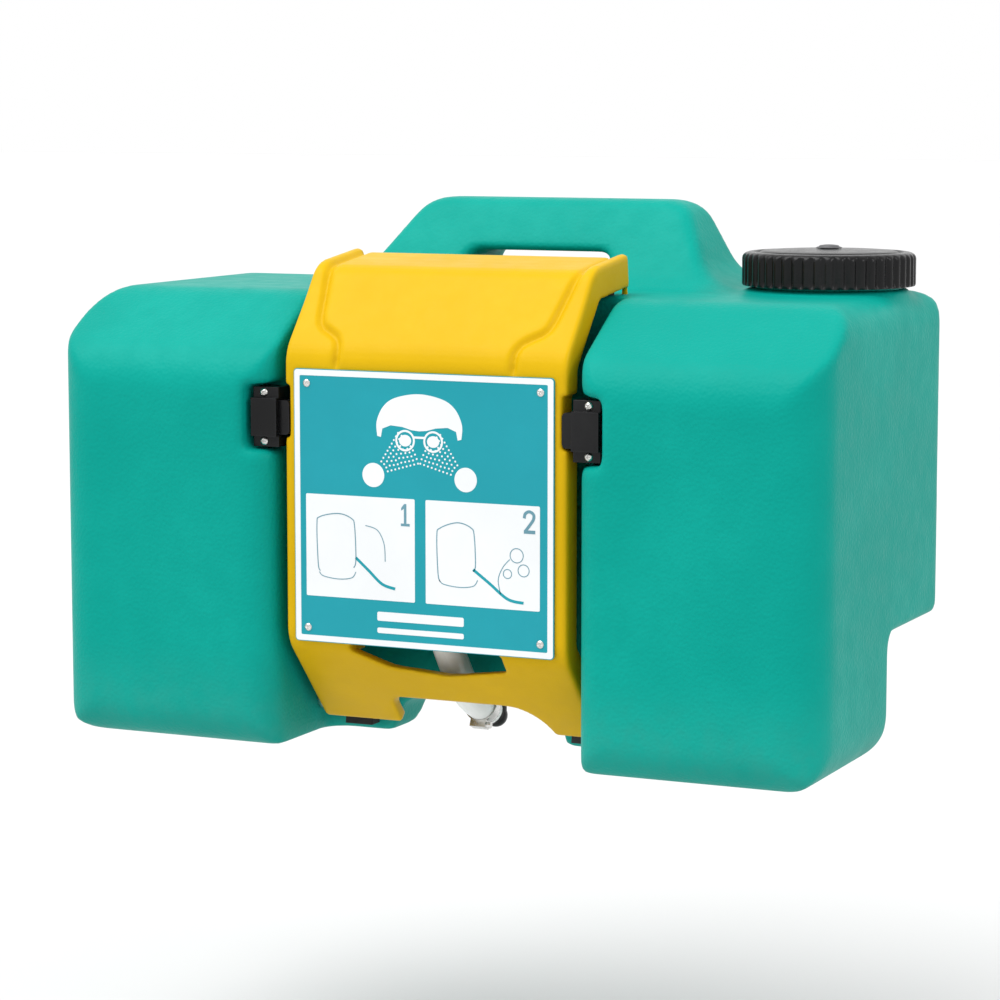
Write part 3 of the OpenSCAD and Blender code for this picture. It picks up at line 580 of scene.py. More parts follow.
# ---------------------------------------------------------------------------
# Tank
# ---------------------------------------------------------------------------
def tank_field(x, y, z):
    depth = y - FRONT
    body = np.maximum(outline_distance(depth, z, arc_line(TANK_SIDE)),
                      outline_distance(x, y, arc_line(TANK_PLAN)))
    body = both(body, outline_distance(x, z, arc_line(TANK_FACE)))
    side = outline_distance(depth, z, arc_line(HANDLE_SIDE))
    face = np.maximum(outline_distance(x, z, arc_line(HANDLE_FACE)), -outline_distance(x, z, arc_line(GRIP)))
    handle = both(side, face, HANDLE_R)
    f = either(body, handle, HANDLE_FILLET)
    round_neck = np.hypot(x - NECK_AXIS[0], y - NECK_AXIS[1])
    f = either(f, both(round_neck - NECK_R - NECK_FLANGE, span(z, TANK_H - 12, TANK_H + 4), 2.5), 4.0)
    # The filler's bore and the part of the inside that shows through it
    chamber = np.maximum(np.maximum(span(x, 150, TANK_W), span(y, -30, BACK)), span(z, 180, TANK_H))
    chamber = np.maximum(chamber, body + CHAMBER_WALL)
    f = np.maximum(f, -np.minimum(chamber, np.maximum(round_neck - BORE_R, span(z, 240, TANK_H + 60))))
    # The arch, the outlet's seat and niche, and the catch pockets
    arch = np.maximum(outline_distance(x, z, arc_line(ARCH)), span(depth, RECESS_D - 10, LOWER_D + 10))
    f = np.maximum(f, -arch)
    seat = np.maximum(np.hypot(x, depth - SEAT_AT) - SEAT_R, z - SEAT_TOP)
    niche = np.maximum(np.abs(x) - NICHE_R, span(depth, RECESS_D - 10, 120))
    round_top = np.where(z > NICHE_BEND, np.hypot(x, z - NICHE_BEND) - NICHE_R, -99)
    niche = np.maximum(niche, np.maximum(z - NICHE_TOP, round_top))
    f = np.maximum(f, -np.minimum(seat, niche))
    pocket = np.maximum(span(np.abs(x), RECESS_W / 2 - 5.5, RECESS_W / 2 + 20.5), span(depth, -2, 31))
    f = cut(f, np.maximum(pocket, span(z, CATCH_Z - POCKET_HALF, CATCH_Z + POCKET_HALF)), 1.5)
    boss = np.maximum(np.hypot(depth - PIVOT[0], z - PIVOT[1]) - PIVOT_EAR_R, span(np.abs(x), 113.5, 130))
    return np.minimum(f, boss)


def tank_skin():
    step = 2.8
    start = (-TANK_W / 2 - 3 * step, FRONT - 3 * step, -3 * step)
    end = (TANK_W / 2 + 3 * step, BACK + 3 * step, HANDLE_TOP + 3 * step)
    x, y, z = grid(start, end, step)
    field = blur(tank_field(x, y, z) + 0 * (x + y + z), 1.1 * 2.8 / step)
    skin("tank_skin", field, start, step, "tank_plastic", "tank", stands_for=["tank"],
         keep=0.62)


def lathe(name, profile, centre, finish, body, around, stands_for, radius, angle=40):
    """A closed profile of (radius, height) turned about an upright axis; radius() varies it round the axis."""
    verts, faces = [], []
    n = len(profile)
    for k in range(around):
        a = 2 * math.pi * k / around
        for i, (r, h) in enumerate(profile):
            rr = radius(r, h, a, i)
            verts.append((centre[0] + rr * math.cos(a), centre[1] + rr * math.sin(a), centre[2] + h))
    for k in range(around):
        k2 = (k + 1) % around
        for i in range(n):
            j = (i + 1) % n
            faces.append((k * n + i, k2 * n + i, k2 * n + j, k * n + j))
    return piece(name, verts, faces, finish, body, stands_for, angle=angle)


def closed_lathe(name, profile, centre, finish, body, around, stands_for):
    """The same for a plain open profile whose two ends lie on the axis."""
    verts = [(centre[0], centre[1], centre[2] + end[1]) for end in (profile[0], profile[-1])]
    faces = []
    inner = profile[1:-1]
    n = len(inner)
    for k in range(around):
        a = 2 * math.pi * k / around
        for r, h in inner:
            verts.append((centre[0] + r * math.cos(a), centre[1] + r * math.sin(a), centre[2] + h))
    for k in range(around):
        k2 = (k + 1) % around
        for i in range(n - 1):
            faces.append((2 + k * n + i, 2 + k2 * n + i, 2 + k2 * n + i + 1, 2 + k * n + i + 1))
        faces.append((0, 2 + k2 * n, 2 + k * n))
        faces.append((1, 2 + k * n + n - 1, 2 + k2 * n + n - 1))
    return piece(name, verts, faces, finish, body, stands_for, angle=40)


THREAD_FROM, THREAD_TO, THREAD_PITCH, THREAD_DEPTH = 6, 17, 4.5, 1.2


def filler_neck():
    """The threaded neck that the cap screws on."""
    heights = np.arange(THREAD_FROM, THREAD_TO + 0.01, 0.5)
    profile = [(BORE_R, -12), (NECK_R, -12), (NECK_R, 4.5)]
    profile += [(NECK_R, h) for h in heights]
    profile += [(NECK_R, 21.5), (NECK_R - 1.2, 22.9), (BORE_R + 1.5, 22.9), (BORE_R, 21.5)]

    def thread(r, h, a, i):
        if THREAD_FROM <= h <= THREAD_TO:
            fade = min(1.0, (h - THREAD_FROM) / 2.0, (THREAD_TO - h) / 2.0)
            wave = math.cos(2 * math.pi * h / THREAD_PITCH - a)
            return r + THREAD_DEPTH * fade * max(0.0, wave) ** 0.7
        return r

    lathe("filler_neck", profile, (*NECK_AXIS, TANK_H), "tank_plastic", "tank", around=200, radius=thread,
          stands_for=["tank"])


RIBS, RIB_DEPTH = 48, 1.8


def cap():
    """The cap: a ribbed skirt, a rolled shoulder, a sunk ring and a low dome, with the vent's nub in it."""
    c_lo, c_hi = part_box("filler_cap")
    top = c_hi.z / MM
    base = c_lo.z / MM
    outer = (c_hi.x - c_lo.x) / 2 / MM
    height = top - base
    bore = NECK_R + 1.5
    ceiling = TANK_H + 23 + 2 - base
    skirt = [(outer - 0.6, 0.0), (outer, 0.8)] + [(outer, h) for h in np.linspace(2, height - 7, 8)]
    shoulder = [(outer - 0.3, height - 5.6), (outer - 1.2, height - 4.2), (outer - 2.6, height - 3.2),
                (outer - 4.6, height - 2.6), (outer - 7.2, height - 2.4), (outer - 8.4, height - 2.6),
                (outer - 9.2, height - 3.6), (outer - 10.6, height - 3.9), (outer - 12.0, height - 3.6),
                (outer - 12.8, height - 2.6), (outer - 14.5, height - 1.9)]
    dome = [(r, height - 1.9 + 1.6 * (1 - (r / (outer - 14.5)) ** 2)) for r in (40, 30, 20, 12, 6.2)]
    under = [(6.2, ceiling), (20, ceiling), (40, ceiling), (bore - 1, ceiling), (bore, ceiling - 1), (bore, 1.0),
             (bore + 0.8, 0.0)]
    profile = skirt + shoulder + dome + under

    def grip(r, h, a, i):
        if i < len(skirt) + 2 and r > outer - 2:
            depth = min(1.0, h / 1.5, (height - 3.5 - h) / 2.5)
            return r - RIB_DEPTH * max(0.0, depth) * (0.5 + 0.5 * math.cos(RIBS * a)) ** 1.6
        return r

    lathe("cap_body", profile, (*NECK_AXIS, base), "black_plastic", "cap", around=600, radius=grip,
          stands_for=["filler_cap"], angle=50)
    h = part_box("vent_plug")[1].z / MM
    nub = [(0, h), (3, h - 0.15), (6.2, h - 0.6), (7.0, h - 1.0), (7.4, h - 1.6), (8.4, h - 1.7),
           (9.0, h - 2.0), (9.0, h - 2.4), (6.0, h - 2.5), (5.9, h - 11), (0, h - 11.4)]
    closed_lathe("vent_nub", nub, (*NECK_AXIS, 0), "grey_plastic", "cap", around=64, stands_for=["vent_plug"])


# ---------------------------------------------------------------------------
# Arm
# ---------------------------------------------------------------------------
def inward(a, b):
    d = np.array([b[0] - a[0], b[1] - a[1]], float)
    d /= np.linalg.norm(d)
    return np.array([-d[1], d[0]])


def arm_offset(d, over=0.0):
    """The arm's outer line moved by d towards the tank."""
    p = [np.array(q, float) for q in ARM_LINE]
    n = len(p)
    if over:
        p[0][:2] += over * (p[0][:2] - p[1][:2]) / np.linalg.norm(p[0][:2] - p[1][:2])
        p[-1][:2] += over * (p[-1][:2] - p[-2][:2]) / np.linalg.norm(p[-1][:2] - p[-2][:2])
    out = []
    for i in range(n):
        n1 = inward(p[i], p[i - 1]) if i > 0 else None
        n2 = inward(p[i + 1], p[i]) if i < n - 1 else None
        m = n2 if i == 0 else n1 if i == n - 1 else (n1 + n2) / (1 + n1 @ n2)
        out.append((p[i][0] + d * m[0], p[i][1] + d * m[1], 0 if p[i][2] == 0 else max(p[i][2] - d, 0.5)))
    return out


def arm_fill(d, reach, over=0.0):
    """The outline of everything between d and reach behind the arm's outer line."""
    far = arm_offset(reach, over)
    return arc_line(arm_offset(d, over)[::-1] + [(far[0][0], far[0][1], 0), (far[-1][0], far[-1][1], 0)])


GROOVE_DEPTH, PANEL_RISE, RIM_RISE = 3.8, 0.8, 3.2


def arm_relief(x, depth, z, wide=2.5):
    """How far the face stands proud: a low panel with a groove round it, and side rims that rise to the tip."""
    along = (depth - ARM_SET) * math.cos(SLOPE) + (z - CREASE_TOP) * math.sin(SLOPE)
    over_top = SLOPE_LENGTH + (depth - 60) * 0.993 + (z - (TANK_H + 18)) * 0.12
    u = np.where(z < CREASE_TOP, z - CREASE_TOP, np.minimum(along, SLOPE_LENGTH))
    u = np.where((along > SLOPE_LENGTH) & (depth > 58), np.maximum(over_top, SLOPE_LENGTH), u)
    ax = np.abs(x)
    border = [(67, -40), (67, 3), (68, 8), (71, 13), (76.5, 17), (82.5, 20.5), (86.5, 25), (88.5, 31),
              (90, 40), (95.5, 74), (96.5, 140)]
    g = segment_distance(ax, u, border)
    half = np.interp(u, [b[1] for b in border], [b[0] for b in border])
    in_panel = 1 / (1 + np.exp(np.clip((ax - half) / 1.4, -30, 30)))
    live = np.clip((u + 14) / 6, 0, 1)
    rim_up = np.clip((u - 40) / 45, 0, 1) ** 1.5
    relief = -GROOVE_DEPTH * np.exp(-(g / wide) ** 2) * live
    relief = relief + PANEL_RISE * in_panel * live
    return relief + RIM_RISE * rim_up * (1 - in_panel)


def arm_field(x, y, z):
    depth = y - FRONT
    outer = outline_distance(depth, z, arm_fill(0, 60)) - arm_relief(x, depth, z)
    shell = both(outer, np.abs(x) - ARM_W / 2, 3.2)
    shell = np.maximum(shell, -outline_distance(depth, z, arm_fill(ARM_T, 62, 1)))
    hollow = outline_distance(depth, z, arm_fill(ARM_WALL, 62, 1)) - arm_relief(x, depth, z, 5.5)
    hollow = np.maximum(hollow, -outline_distance(depth, z, arm_fill(ARM_T + 12, 64, 2)))
    hollow = np.maximum(hollow, np.abs(x) - ARM_W / 2 + ARM_WALL)
    hollow = np.maximum(hollow, np.maximum(depth - RECESS_D - 14, 17 - z))
    slot = outline_distance(x, z, arc_line(SLOT))
    notch = outline_distance(x, z, arc_line(NOTCH))
    ax = np.abs(x)
    side_notch = np.maximum(np.maximum(ARM_W / 2 - 4 - ax, depth - 62),
                            span(z, CATCH_Z - 13.5, CATCH_Z + POCKET_HALF))
    for hole in (slot, notch, side_notch):
        hollow = np.maximum(hollow, -(hole - ARM_WALL))
    f = np.maximum(shell, -hollow)
    from_pivot = np.hypot(depth - PIVOT[0], z - PIVOT[1])
    f = np.minimum(f, np.maximum(from_pivot - PIVOT_EAR_R, span(ax, 96, ARM_W / 2)))
    # Bosses for the screws of the sign and of the hose's clips
    corner = SIGN_H / 2 - SIGN_INSET
    bosses = [(SIGN_W / 2 - SIGN_INSET, SIGN_Z + side * corner, 11) for side in (1, -1)]
    bosses += [(CLIP_SCREW_X, clip_z, 8) for clip_z in CLIP_Z]
    for bx, bz, tall in bosses:
        boss = np.maximum(np.hypot(ax - bx, z - bz) - BOSS_R, span(depth, ARM_SET + 1, ARM_SET + tall))
        f = np.minimum(f, boss)
    f = cut(f, slot, 1.2)
    f = cut(f, notch, 1.2)
    # Room behind the slot's rim, room for the hose, the catches' notches and the pivot's holes
    bar = np.maximum(outline_distance(depth, z, arm_fill(9, 70, 1)), span(x, -60, 56))
    f = np.maximum(f, -np.maximum(bar, np.maximum(z - CREASE_Z, -depth)))
    channel = np.maximum(span(depth, ARM_SET + ARM_WALL, RECESS_D), span(z, 78, 198))
    f = np.maximum(f, -np.maximum(ax - NICHE_R, channel))
    f = cut(f, side_notch, 1.0)
    return np.maximum(f, -np.maximum(from_pivot - PIVOT_HOLE_R, ARM_W / 2 - 12 - ax))


def arm():
    step = 1.5
    start = (-ARM_W / 2 - 3 * step, FRONT + ARM_SET - 6, 6)
    end = (ARM_W / 2 + 3 * step, FRONT + RECESS_D + 18 + 10, TANK_H + 25 + 12)
    x, y, z = grid(start, end, step)
    field = blur(arm_field(x, y, z) + 0 * (x + y + z), 0.6 * 1.5 / step)
    skin("arm_body", field, start, step, "arm_plastic", "arm", stands_for=["arm_shell"],
         keep=0.62)


# ---------------------------------------------------------------------------
# Sign: a plate with its own plain pictures printed on it
# ---------------------------------------------------------------------------
SIGN_FRONT = FRONT + ARM_SET - SIGN_T - 0.05


def on_sign(u, v):
    """A point of the sign's face: u from the left, v from the top, each 0 to 1."""
    return (-SIGN_W / 2 + u * SIGN_W, SIGN_Z + SIGN_H / 2 - v * SIGN_H)


def plate(name, outline, y0, thick, finish, holes=(), stands_for=()):
    """A flat shape on the sign, its front at y0, cut from an outline with holes in it."""
    curve = bpy.data.curves.new(name, "CURVE")
    curve.dimensions = "2D"
    curve.fill_mode = "BOTH"
    curve.extrude = thick / 2 * MM
    for line in [outline, *holes]:
        s = curve.splines.new("POLY")
        s.points.add(len(line) - 1)
        for p, (x, z) in zip(s.points, line):
            p.co = (x * MM, z * MM, 0, 1)
        s.use_cyclic_u = True
    tmp = bpy.data.objects.new(name + "_tmp", curve)
    bpy.context.scene.collection.objects.link(tmp)
    graph = bpy.context.evaluated_depsgraph_get()
    mesh = bpy.data.meshes.new_from_object(tmp.evaluated_get(graph))
    bpy.data.objects.remove(tmp)
    bpy.data.curves.remove(curve)
    co = np.zeros(len(mesh.vertices) * 3)
    mesh.vertices.foreach_get("co", co)
    co = co.reshape(-1, 3)
    out = np.stack([co[:, 0], (y0 + thick / 2) * MM - co[:, 2], co[:, 1]], 1)
    mesh.vertices.foreach_set("co", out.ravel())
    mesh.update()
    mesh.name = name
    mesh.materials.clear()
    mesh.materials.append(M[finish])
    obj = bpy.data.objects.new(name, mesh)
    bpy.context.scene.collection.objects.link(obj)
    place(obj, "arm", stands_for)
    return obj


def rounded_box(x0, z0, x1, z1, r):
    return arc_line([(x0, z0, r), (x1, z0, r), (x1, z1, r), (x0, z1, r)], 6)


def disc(cx, cz, r, n=40):
    return [(cx + r * math.cos(2 * math.pi * k / n), cz + r * math.sin(2 * math.pi * k / n))
            for k in range(n)]


def stroke(points, width):
    """The outline of a line of that width through points."""
    p = np.array(points, float)
    d = np.gradient(p, axis=0)
    d /= np.linalg.norm(d, axis=1)[:, None]
    side = np.stack([-d[:, 1], d[:, 0]], 1) * width / 2
    return np.concatenate([p + side, (p - side)[::-1]])


def curve_through(points, n=24):
    """A smooth line through a few points."""
    p = np.array([points[0], *points, points[-1]], float)
    out = []
    for i in range(1, len(p) - 2):
        for t in np.linspace(0, 1, n, endpoint=False):
            a, b, c, d = p[i - 1:i + 3]
            out.append(0.5 * (2 * b + (c - a) * t + (2 * a - 5 * b + 4 * c - d) * t ** 2
                              + (3 * b - a - 3 * c + d) * t ** 3))
    out.append(p[-2])
    return np.array(out)


def sign():
    x0, x1 = -SIGN_W / 2, SIGN_W / 2
    z0, z1 = SIGN_Z - SIGN_H / 2, SIGN_Z + SIGN_H / 2
    board = plate("sign_board", rounded_box(x0, z0, x1, z1, 2.5), SIGN_FRONT, SIGN_T, "sign_face",
                  stands_for=["sign_plate"])
    soft = board.modifiers.new("soft", "BEVEL")
    soft.width, soft.segments, soft.limit_method = 0.35 * MM, 2, "ANGLE"
    ink = 0.12
    rim = 4.6
    front = SIGN_FRONT - ink
    plate("sign_border", rounded_box(x0 + 0.5, z0 + 0.5, x1 - 0.5, z1 - 0.5, 2.2), front, ink, "print_white",
          holes=[rounded_box(x0 + rim, z0 + rim, x1 - rim, z1 - rim, 1.0)])

    # A plain picture: the top of a head, two eyes and a spray towards them from two nozzles
    def at(points):
        return [on_sign(*p) for p in points]

    head = curve_through([(0.328, 0.232), (0.326, 0.18), (0.352, 0.125), (0.40, 0.092), (0.49, 0.076),
                          (0.58, 0.092), (0.628, 0.125), (0.654, 0.18), (0.652, 0.232)], 8)
    brow = [(0.638, 0.236), (0.632, 0.205), (0.60, 0.192), (0.555, 0.196), (0.52, 0.206), (0.49, 0.209),
            (0.46, 0.206), (0.425, 0.196), (0.38, 0.192), (0.348, 0.205), (0.342, 0.236)]
    plate("sign_head", at(np.concatenate([head, brow])), front, ink, "print_white")
    plate("sign_bridge", at([(0.466, 0.228), (0.514, 0.228), (0.514, 0.236), (0.466, 0.236)]), front, ink,
          "print_white")
    for side, s in (("left", -1), ("right", 1)):
        cx, cz = on_sign(0.49 + s * 0.054, 0.245)
        plate(f"sign_eye_{side}", disc(cx, cz, 7.4), front - 0.02, ink + 0.02, "print_white",
              holes=[disc(cx, cz, 6.0)])
        lens = [(cx + 4.6 * math.cos(t), cz + 4.0 * math.sin(t)) for t in np.linspace(0, 2 * math.pi, 32)[:-1]]
        plate(f"sign_pupil_{side}", lens, front - 0.02, ink + 0.02, "print_white")
        nx, nz = on_sign(0.49 + s * 0.178, 0.375)
        plate(f"sign_nozzle_{side}", disc(nx, nz, 8.4), front, ink, "print_white")
    drops = []
    for s in (-1, 1):
        nx, nz = on_sign(0.49 + s * 0.178, 0.375)
        ex, ez = on_sign(0.49 + s * 0.030, 0.262)
        aim = math.atan2(ez - nz, ex - nx)
        for row in range(9):
            reach = 11.5 + 3.0 * row
            half = math.radians(21)
            count = max(3, int(2 * half * reach / 2.9))
            for k in range(count + 1):
                t = aim + half * (2 * k / count - 1)
                drops.append((nx + reach * math.cos(t), nz + reach * math.sin(t)))
    verts, faces = [], []
    for cx, cz in drops:
        base = len(verts)
        ring = disc(cx, cz, 0.72, 8)
        verts += [(px, front, pz) for px, pz in ring] + [(px, front + ink, pz) for px, pz in ring]
        faces.append(list(range(base, base + 8)))
        faces.append(list(range(base + 15, base + 7, -1)))
        faces += [(base + (k + 1) % 8, base + k, base + 8 + k, base + 8 + (k + 1) % 8) for k in range(8)]
    piece("sign_spray", verts, faces, "print_white", "arm", smooth=False)

    # Two panels: the station closed, and with its arm let down
    for name, u0, u1 in (("one", 0.046, 0.472), ("two", 0.514, 0.948)):
        a, b = on_sign(u0, 0.83), on_sign(u1, 0.455)
        plate(f"sign_panel_{name}", rounded_box(a[0], a[1], b[0], b[1], 1.0), front, ink, "print_white")
        line = front - ink
        w = u1 - u0

        def inside(points):
            return [on_sign(u0 + w * p, 0.455 + 0.375 * q) for p, q in points]

        if name == "one":
            tank_line = [(0.13, 0.75), (0.11, 0.68), (0.10, 0.30), (0.13, 0.22), (0.30, 0.18), (0.42, 0.22),
                         (0.45, 0.30), (0.46, 0.62), (0.44, 0.70)]
            flow = [(0.55, 0.28), (0.66, 0.32), (0.72, 0.45), (0.73, 0.62)]
            lower = [(0.46, 0.60), (0.58, 0.72), (0.70, 0.84), (0.82, 0.88)]
        else:
            tank_line = [(0.13, 0.78), (0.11, 0.70), (0.10, 0.34), (0.13, 0.26), (0.28, 0.20), (0.40, 0.24),
                         (0.43, 0.32), (0.44, 0.60), (0.42, 0.66)]
            flow = [(0.66, 0.86), (0.64, 0.72), (0.68, 0.60), (0.74, 0.52)]
            lower = [(0.42, 0.64), (0.56, 0.76), (0.72, 0.90), (0.86, 0.93)]
        plate(f"sign_drawing_{name}", stroke(curve_through(inside(tank_line)), 0.7), line, ink, "print_line")
        plate(f"sign_flow_{name}", stroke(curve_through(inside(flow)), 0.6), line, ink, "print_line")
        foot = [(0.12, 0.76), (0.16, 0.80), (0.30, 0.82), (0.42, 0.80), (0.46, 0.74)]
        plate(f"sign_foot_{name}", stroke(curve_through(inside(foot)), 0.6), line, ink, "print_line")
        plate(f"sign_arm_{name}", stroke(curve_through(inside(lower)), 2.0), line, ink, "sign_face")
        if name == "two":
            for k, (cu, cv, r) in enumerate([(0.80, 0.48, 5.2), (0.86, 0.62, 4.4), (0.72, 0.66, 3.4)]):
                c = inside([(cu, cv)])[0]
                plate(f"sign_ring_{k}", disc(*c, r, 24), line, ink, "print_line",
                      holes=[disc(*c, r - 0.6, 24)])
        # The step's number
        if name == "one":
            digit = [inside([(0.905, 0.05), (0.925, 0.05), (0.925, 0.24), (0.955, 0.24), (0.955, 0.265),
                             (0.875, 0.265), (0.875, 0.24), (0.903, 0.24), (0.903, 0.095), (0.878, 0.115),
                             (0.878, 0.09)])]
        else:
            top = curve_through(inside([(0.865, 0.12), (0.875, 0.075), (0.91, 0.055), (0.945, 0.08),
                                        (0.945, 0.125), (0.915, 0.18), (0.872, 0.245)]), 8)
            digit = [stroke(top, 2.1), inside([(0.862, 0.232), (0.96, 0.232), (0.96, 0.265), (0.862, 0.265)])]
        for k, shape in enumerate(digit):
            plate(f"sign_number_{name}_{k}", shape, line - 0.01 * k, ink, "print_line")
    # Plain bars where a caption would be
    for k, (u0, u1, v0, v1) in enumerate([(0.325, 0.66, 0.872, 0.905), (0.325, 0.66, 0.93, 0.95)]):
        a, b = on_sign(u0, v1), on_sign(u1, v0)
        plate(f"sign_bar_{k}", rounded_box(a[0], a[1], b[0], b[1], 1.2), front, ink, "print_white")


# ---------------------------------------------------------------------------
# Screws with domed, cross-recessed heads
# ---------------------------------------------------------------------------
def screw_head(r, h, recess=0.55):
    """The mesh of a head that faces -Y with its underside at y = 0, in mm."""
    step = r / 16
    start = (-r - 2 * step, -h - 2 * step, -r - 2 * step)
    x, y, z = grid(start, (r + 2 * step, 2 * step, r + 2 * step), step)
    ball = (r * r + h * h) / (2 * h)
    dome = np.sqrt(x ** 2 + (y + h - ball) ** 2 + z ** 2) - ball
    f = np.maximum(np.maximum(dome, y), np.hypot(x, z) - r * 0.98)
    cross = np.minimum(np.maximum(np.abs(x) - r * 0.13, np.abs(z) - r * recess),
                       np.maximum(np.abs(z) - r * 0.13, np.abs(x) - r * recess))
    f = np.maximum(f, -np.maximum(cross + (y + h) * 0.25, y + h * 0.45))
    return nets(blur(f + 0 * (x + y + z), 0.6), start, step)


def screws(name, node_name, body, head_r, head_h, places):
    """Heads at places (x, y, z) in mm, each turned by its own angle."""
    v, f = screw_head(head_r, head_h)
    verts, faces = [], []
    for n, at in enumerate(places):
        a = 0.7 * n
        spin = np.array([[math.cos(a), 0, math.sin(a)], [0, 1, 0], [-math.sin(a), 0, math.cos(a)]])
        base = sum(len(q) for q in verts)
        verts.append(v @ spin.T + np.array(at))
        faces += (f + base).tolist()
    return piece(name, np.concatenate(verts), faces, "stainless", body, stands_for=[node_name])


# ---------------------------------------------------------------------------
# Hose
# ---------------------------------------------------------------------------
def hose():
    """A tube along the route, held by the tank at its lower end and by the arm above."""
    fine = curve_through([(FRONT + d, z) for d, z in HOSE_ROUTE], 5)
    d = np.gradient(fine, axis=0)
    d /= np.linalg.norm(d, axis=1)[:, None]
    around, verts, faces = 40, [], []
    rings = len(fine)
    for r in (HOSE_OD / 2, HOSE_ID / 2):
        for (y, z), (dy, dz) in zip(fine, d):
            for j in range(around):
                a = 2 * math.pi * j / around
                verts.append((r * math.cos(a), y - dz * r * math.sin(a), z + dy * r * math.sin(a)))
    top = rings * around
    for i in range(rings - 1):
        for j in range(around):
            k = (j + 1) % around
            a, b = i * around + j, i * around + k
            e, c = a + around, b + around
            faces.append((a, b, c, e))
            faces.append((top + e, top + c, top + b, top + a))
    for i in (0, rings - 1):
        for j in range(around):
            k = (j + 1) % around
            q = (i * around + j, top + i * around + j, top + i * around + k, i * around + k)
            faces.append(q if i == 0 else q[::-1])
    tube = piece("hose_tube", verts, faces, "hose_silicone", None, ["hose"])
    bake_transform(tube)


SPRING_TURNS, SPRING_WIRE, PRESS = 5, 0.5, 5.0


def catch_springs():
    """Round wire coils for the catch springs, each filling its spring's box."""
    for side, s in (("left", -1), ("right", 1)):
        name = "catch_spring_" + side
        low, high = (np.array(v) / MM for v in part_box(name))
        middle = (low + high) / 2
        coil_r = (high[2] - low[2]) / 2 - SPRING_WIRE
        near, far = (high[0], low[0]) if s < 0 else (low[0], high[0])
        steps, around = 40 * SPRING_TURNS, 12
        verts, faces = [], []
        for i in range(steps + 1):
            t = 2 * math.pi * SPRING_TURNS * i / steps
            along = near + s * SPRING_WIRE + (far - near - 2 * s * SPRING_WIRE) * i / steps
            for j in range(around):
                c = 2 * math.pi * j / around
                r = coil_r + SPRING_WIRE * math.cos(c)
                verts.append((along + s * SPRING_WIRE * math.sin(c), middle[1] + r * math.cos(t),
                              middle[2] + r * math.sin(t)))
        for i in range(steps):
            for j in range(around):
                k = (j + 1) % around
                q = (i * around + j, (i + 1) * around + j, (i + 1) * around + k, i * around + k)
                faces.append(q if s > 0 else q[::-1])
        ends = [tuple(range(around)), tuple(steps * around + j for j in reversed(range(around)))]
        faces += ends if s > 0 else [e[::-1] for e in ends]
        wire = piece(name + "_wire", verts, faces, "stainless", "tank", stands_for=[name])
        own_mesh(wire)


# ---------------------------------------------------------------------------
# CAD pieces that keep their shape get softened edges and a finish
# ---------------------------------------------------------------------------
FINISH = {s["node"]: s["material_slot"] for s in frame["record"]["subparts"]}
REPLACED = {"tank", "filler_cap", "vent_plug", "arm_shell", "sign_plate", "sign_screws", "catch_screws", "hose",
            "catch_spring_left", "catch_spring_right"}


SOFT_EDGE = 0.35 * MM


def keep_cad():
    for name, obj in frame["nodes"].items():
        if name in REPLACED:
            continue
        obj.data.materials.clear()
        obj.data.materials.append(M[FINISH[name]])
        weld = obj.modifiers.new("weld", "WELD")
        weld.merge_threshold = 0.00001
        if "strainer" in name or "rose" in name:
            continue
        soft = obj.modifiers.new("soft", "BEVEL")
        soft.limit_method = "ANGLE"
        soft.angle_limit = math.radians(35)
        soft.width = SOFT_EDGE
        soft.segments = 2
        soft.use_clamp_overlap = True
        soft.harden_normals = True


# ---------------------------------------------------------------------------
# Camera, floor and light
# ---------------------------------------------------------------------------
CAMERA_AT = (0.958, -2.103, 0.460)
CAMERA_AZIMUTH, CAMERA_RISE = math.radians(24.5), math.radians(7.2)
CAMERA_LENS = 116.35


def look_from():
    camera = bpy.data.objects.new("camera", bpy.data.cameras.new("camera"))
    bpy.context.scene.collection.objects.link(camera)
    a, e = CAMERA_AZIMUTH, CAMERA_RISE
    backward = Vector((math.sin(a) * math.cos(e), -math.cos(a) * math.cos(e), math.sin(e)))
    camera.location = CAMERA_AT
    camera.rotation_mode = "QUATERNION"
    camera.rotation_quaternion = (-backward).to_track_quat("-Z", "Y")
    camera.data.sensor_width = 36
    camera.data.lens = CAMERA_LENS
    camera.data.clip_start, camera.data.clip_end = 0.05, 60
    bpy.context.scene.camera = camera


def lit(name, kind, energy, direction):
    """A light that shines in that direction."""
    light = bpy.data.lights.new(name, kind)
    light.energy = energy
    obj = bpy.data.objects.new(name, light)
    bpy.context.scene.collection.objects.link(obj)
    obj.rotation_mode = "QUATERNION"
    obj.rotation_quaternion = Vector(direction).to_track_quat("-Z", "Y")
    return obj


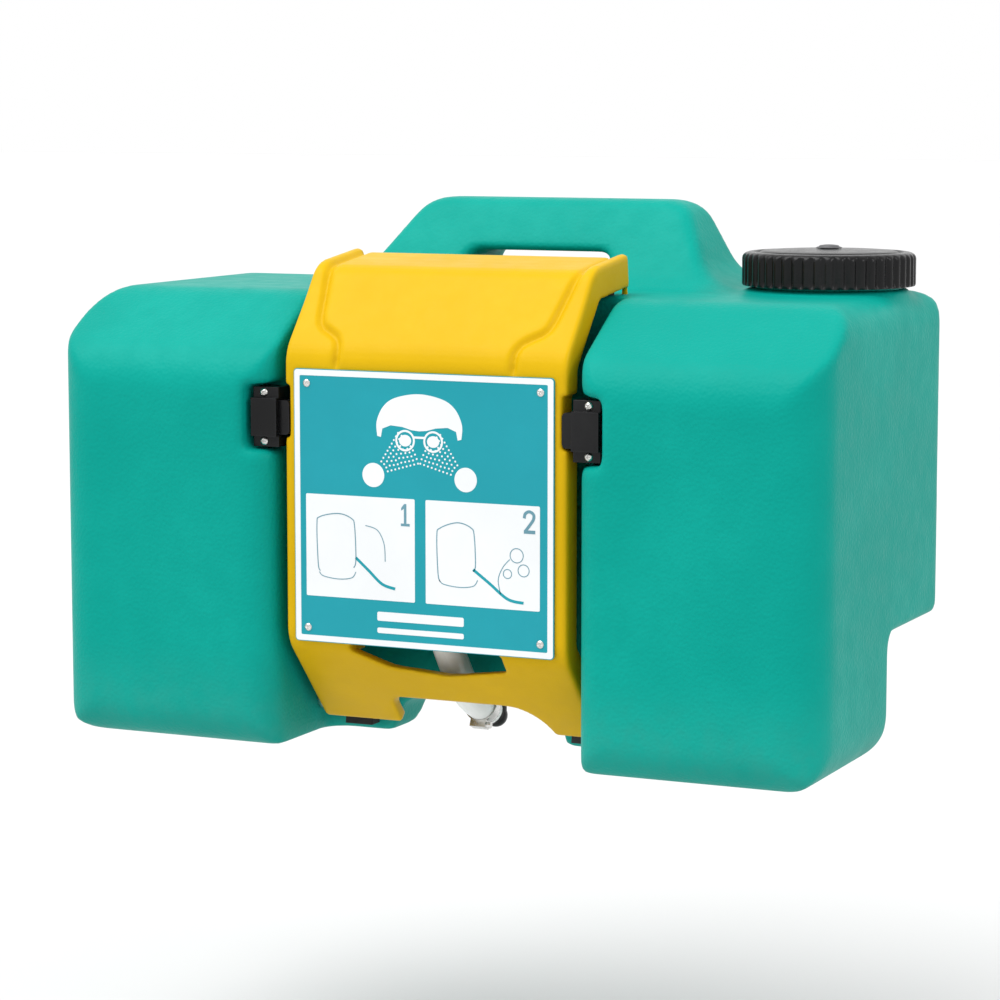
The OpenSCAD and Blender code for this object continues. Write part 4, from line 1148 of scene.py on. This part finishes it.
def area(name, at, target, size, power):
    obj = lit(name, "AREA", power, Vector(target) - Vector(at))
    obj.data.shape, obj.data.size = "SQUARE", size
    obj.location = at


FLOOR_Z = -0.25   # the station hangs on a wall in use, and its arm swings down past its base
FLOOR_REACH = 30.0
FLOOR_GREY = 0.60


def studio():
    floor = bpy.data.meshes.new("floor")
    ends = (-FLOOR_REACH, FLOOR_REACH)
    floor.from_pydata([(x, y, FLOOR_Z) for y in ends for x in ends], [], [(0, 1, 3, 2)])
    obj = bpy.data.objects.new("floor", floor)
    bpy.context.scene.collection.objects.link(obj)
    mat = bpy.data.materials.new("floor_pale")
    tree, shader = nodes_of(mat)
    shader.inputs["Base Color"].default_value = (FLOOR_GREY, FLOOR_GREY, FLOOR_GREY, 1)
    shader.inputs["Roughness"].default_value = 0.6
    floor.materials.append(mat)
    world = bpy.data.worlds.new("studio")
    bpy.context.scene.world = world
    world.use_nodes = True
    back = world.node_tree.nodes["Background"]
    back.inputs[0].default_value = (1, 1, 1, 1)
    back.inputs[1].default_value = 1.0
    area("key", (-1.5, -2.2, 2.0), (0, 0, 0.2), 0.9, 5)
    area("rim", (2.1, -0.5, 1.5), (0.25, 0, 0.25), 0.8, 12)
    overhead = lit("overhead", "SUN", 2.6, (0.30, 0.36, -0.88))
    overhead.data.angle = math.radians(50)
    view = bpy.context.scene.view_settings
    view.view_transform = "Standard"
    view.look = "None"


look_from()
studio()
hose()
catch_springs()
tank_skin()
filler_neck()
cap()
arm()
sign()
corner_x, corner_z = SIGN_W / 2 - SIGN_INSET, SIGN_H / 2 - SIGN_INSET
screws("sign_screw_heads", "sign_screws", "arm", 3.0, 1.3,
       [(sx * corner_x, SIGN_FRONT - 0.05, SIGN_Z + sz * corner_z) for sx in (-1, 1) for sz in (-1, 1)])
screws("catch_screw_heads", "catch_screws", "tank", 3.2, 1.9,
       [(sx * (RECESS_W / 2 + 8), FRONT + 12 - 0.05, CATCH_Z + sz * 17) for sx in (-1, 1) for sz in (-1, 1)])
keep_cad()
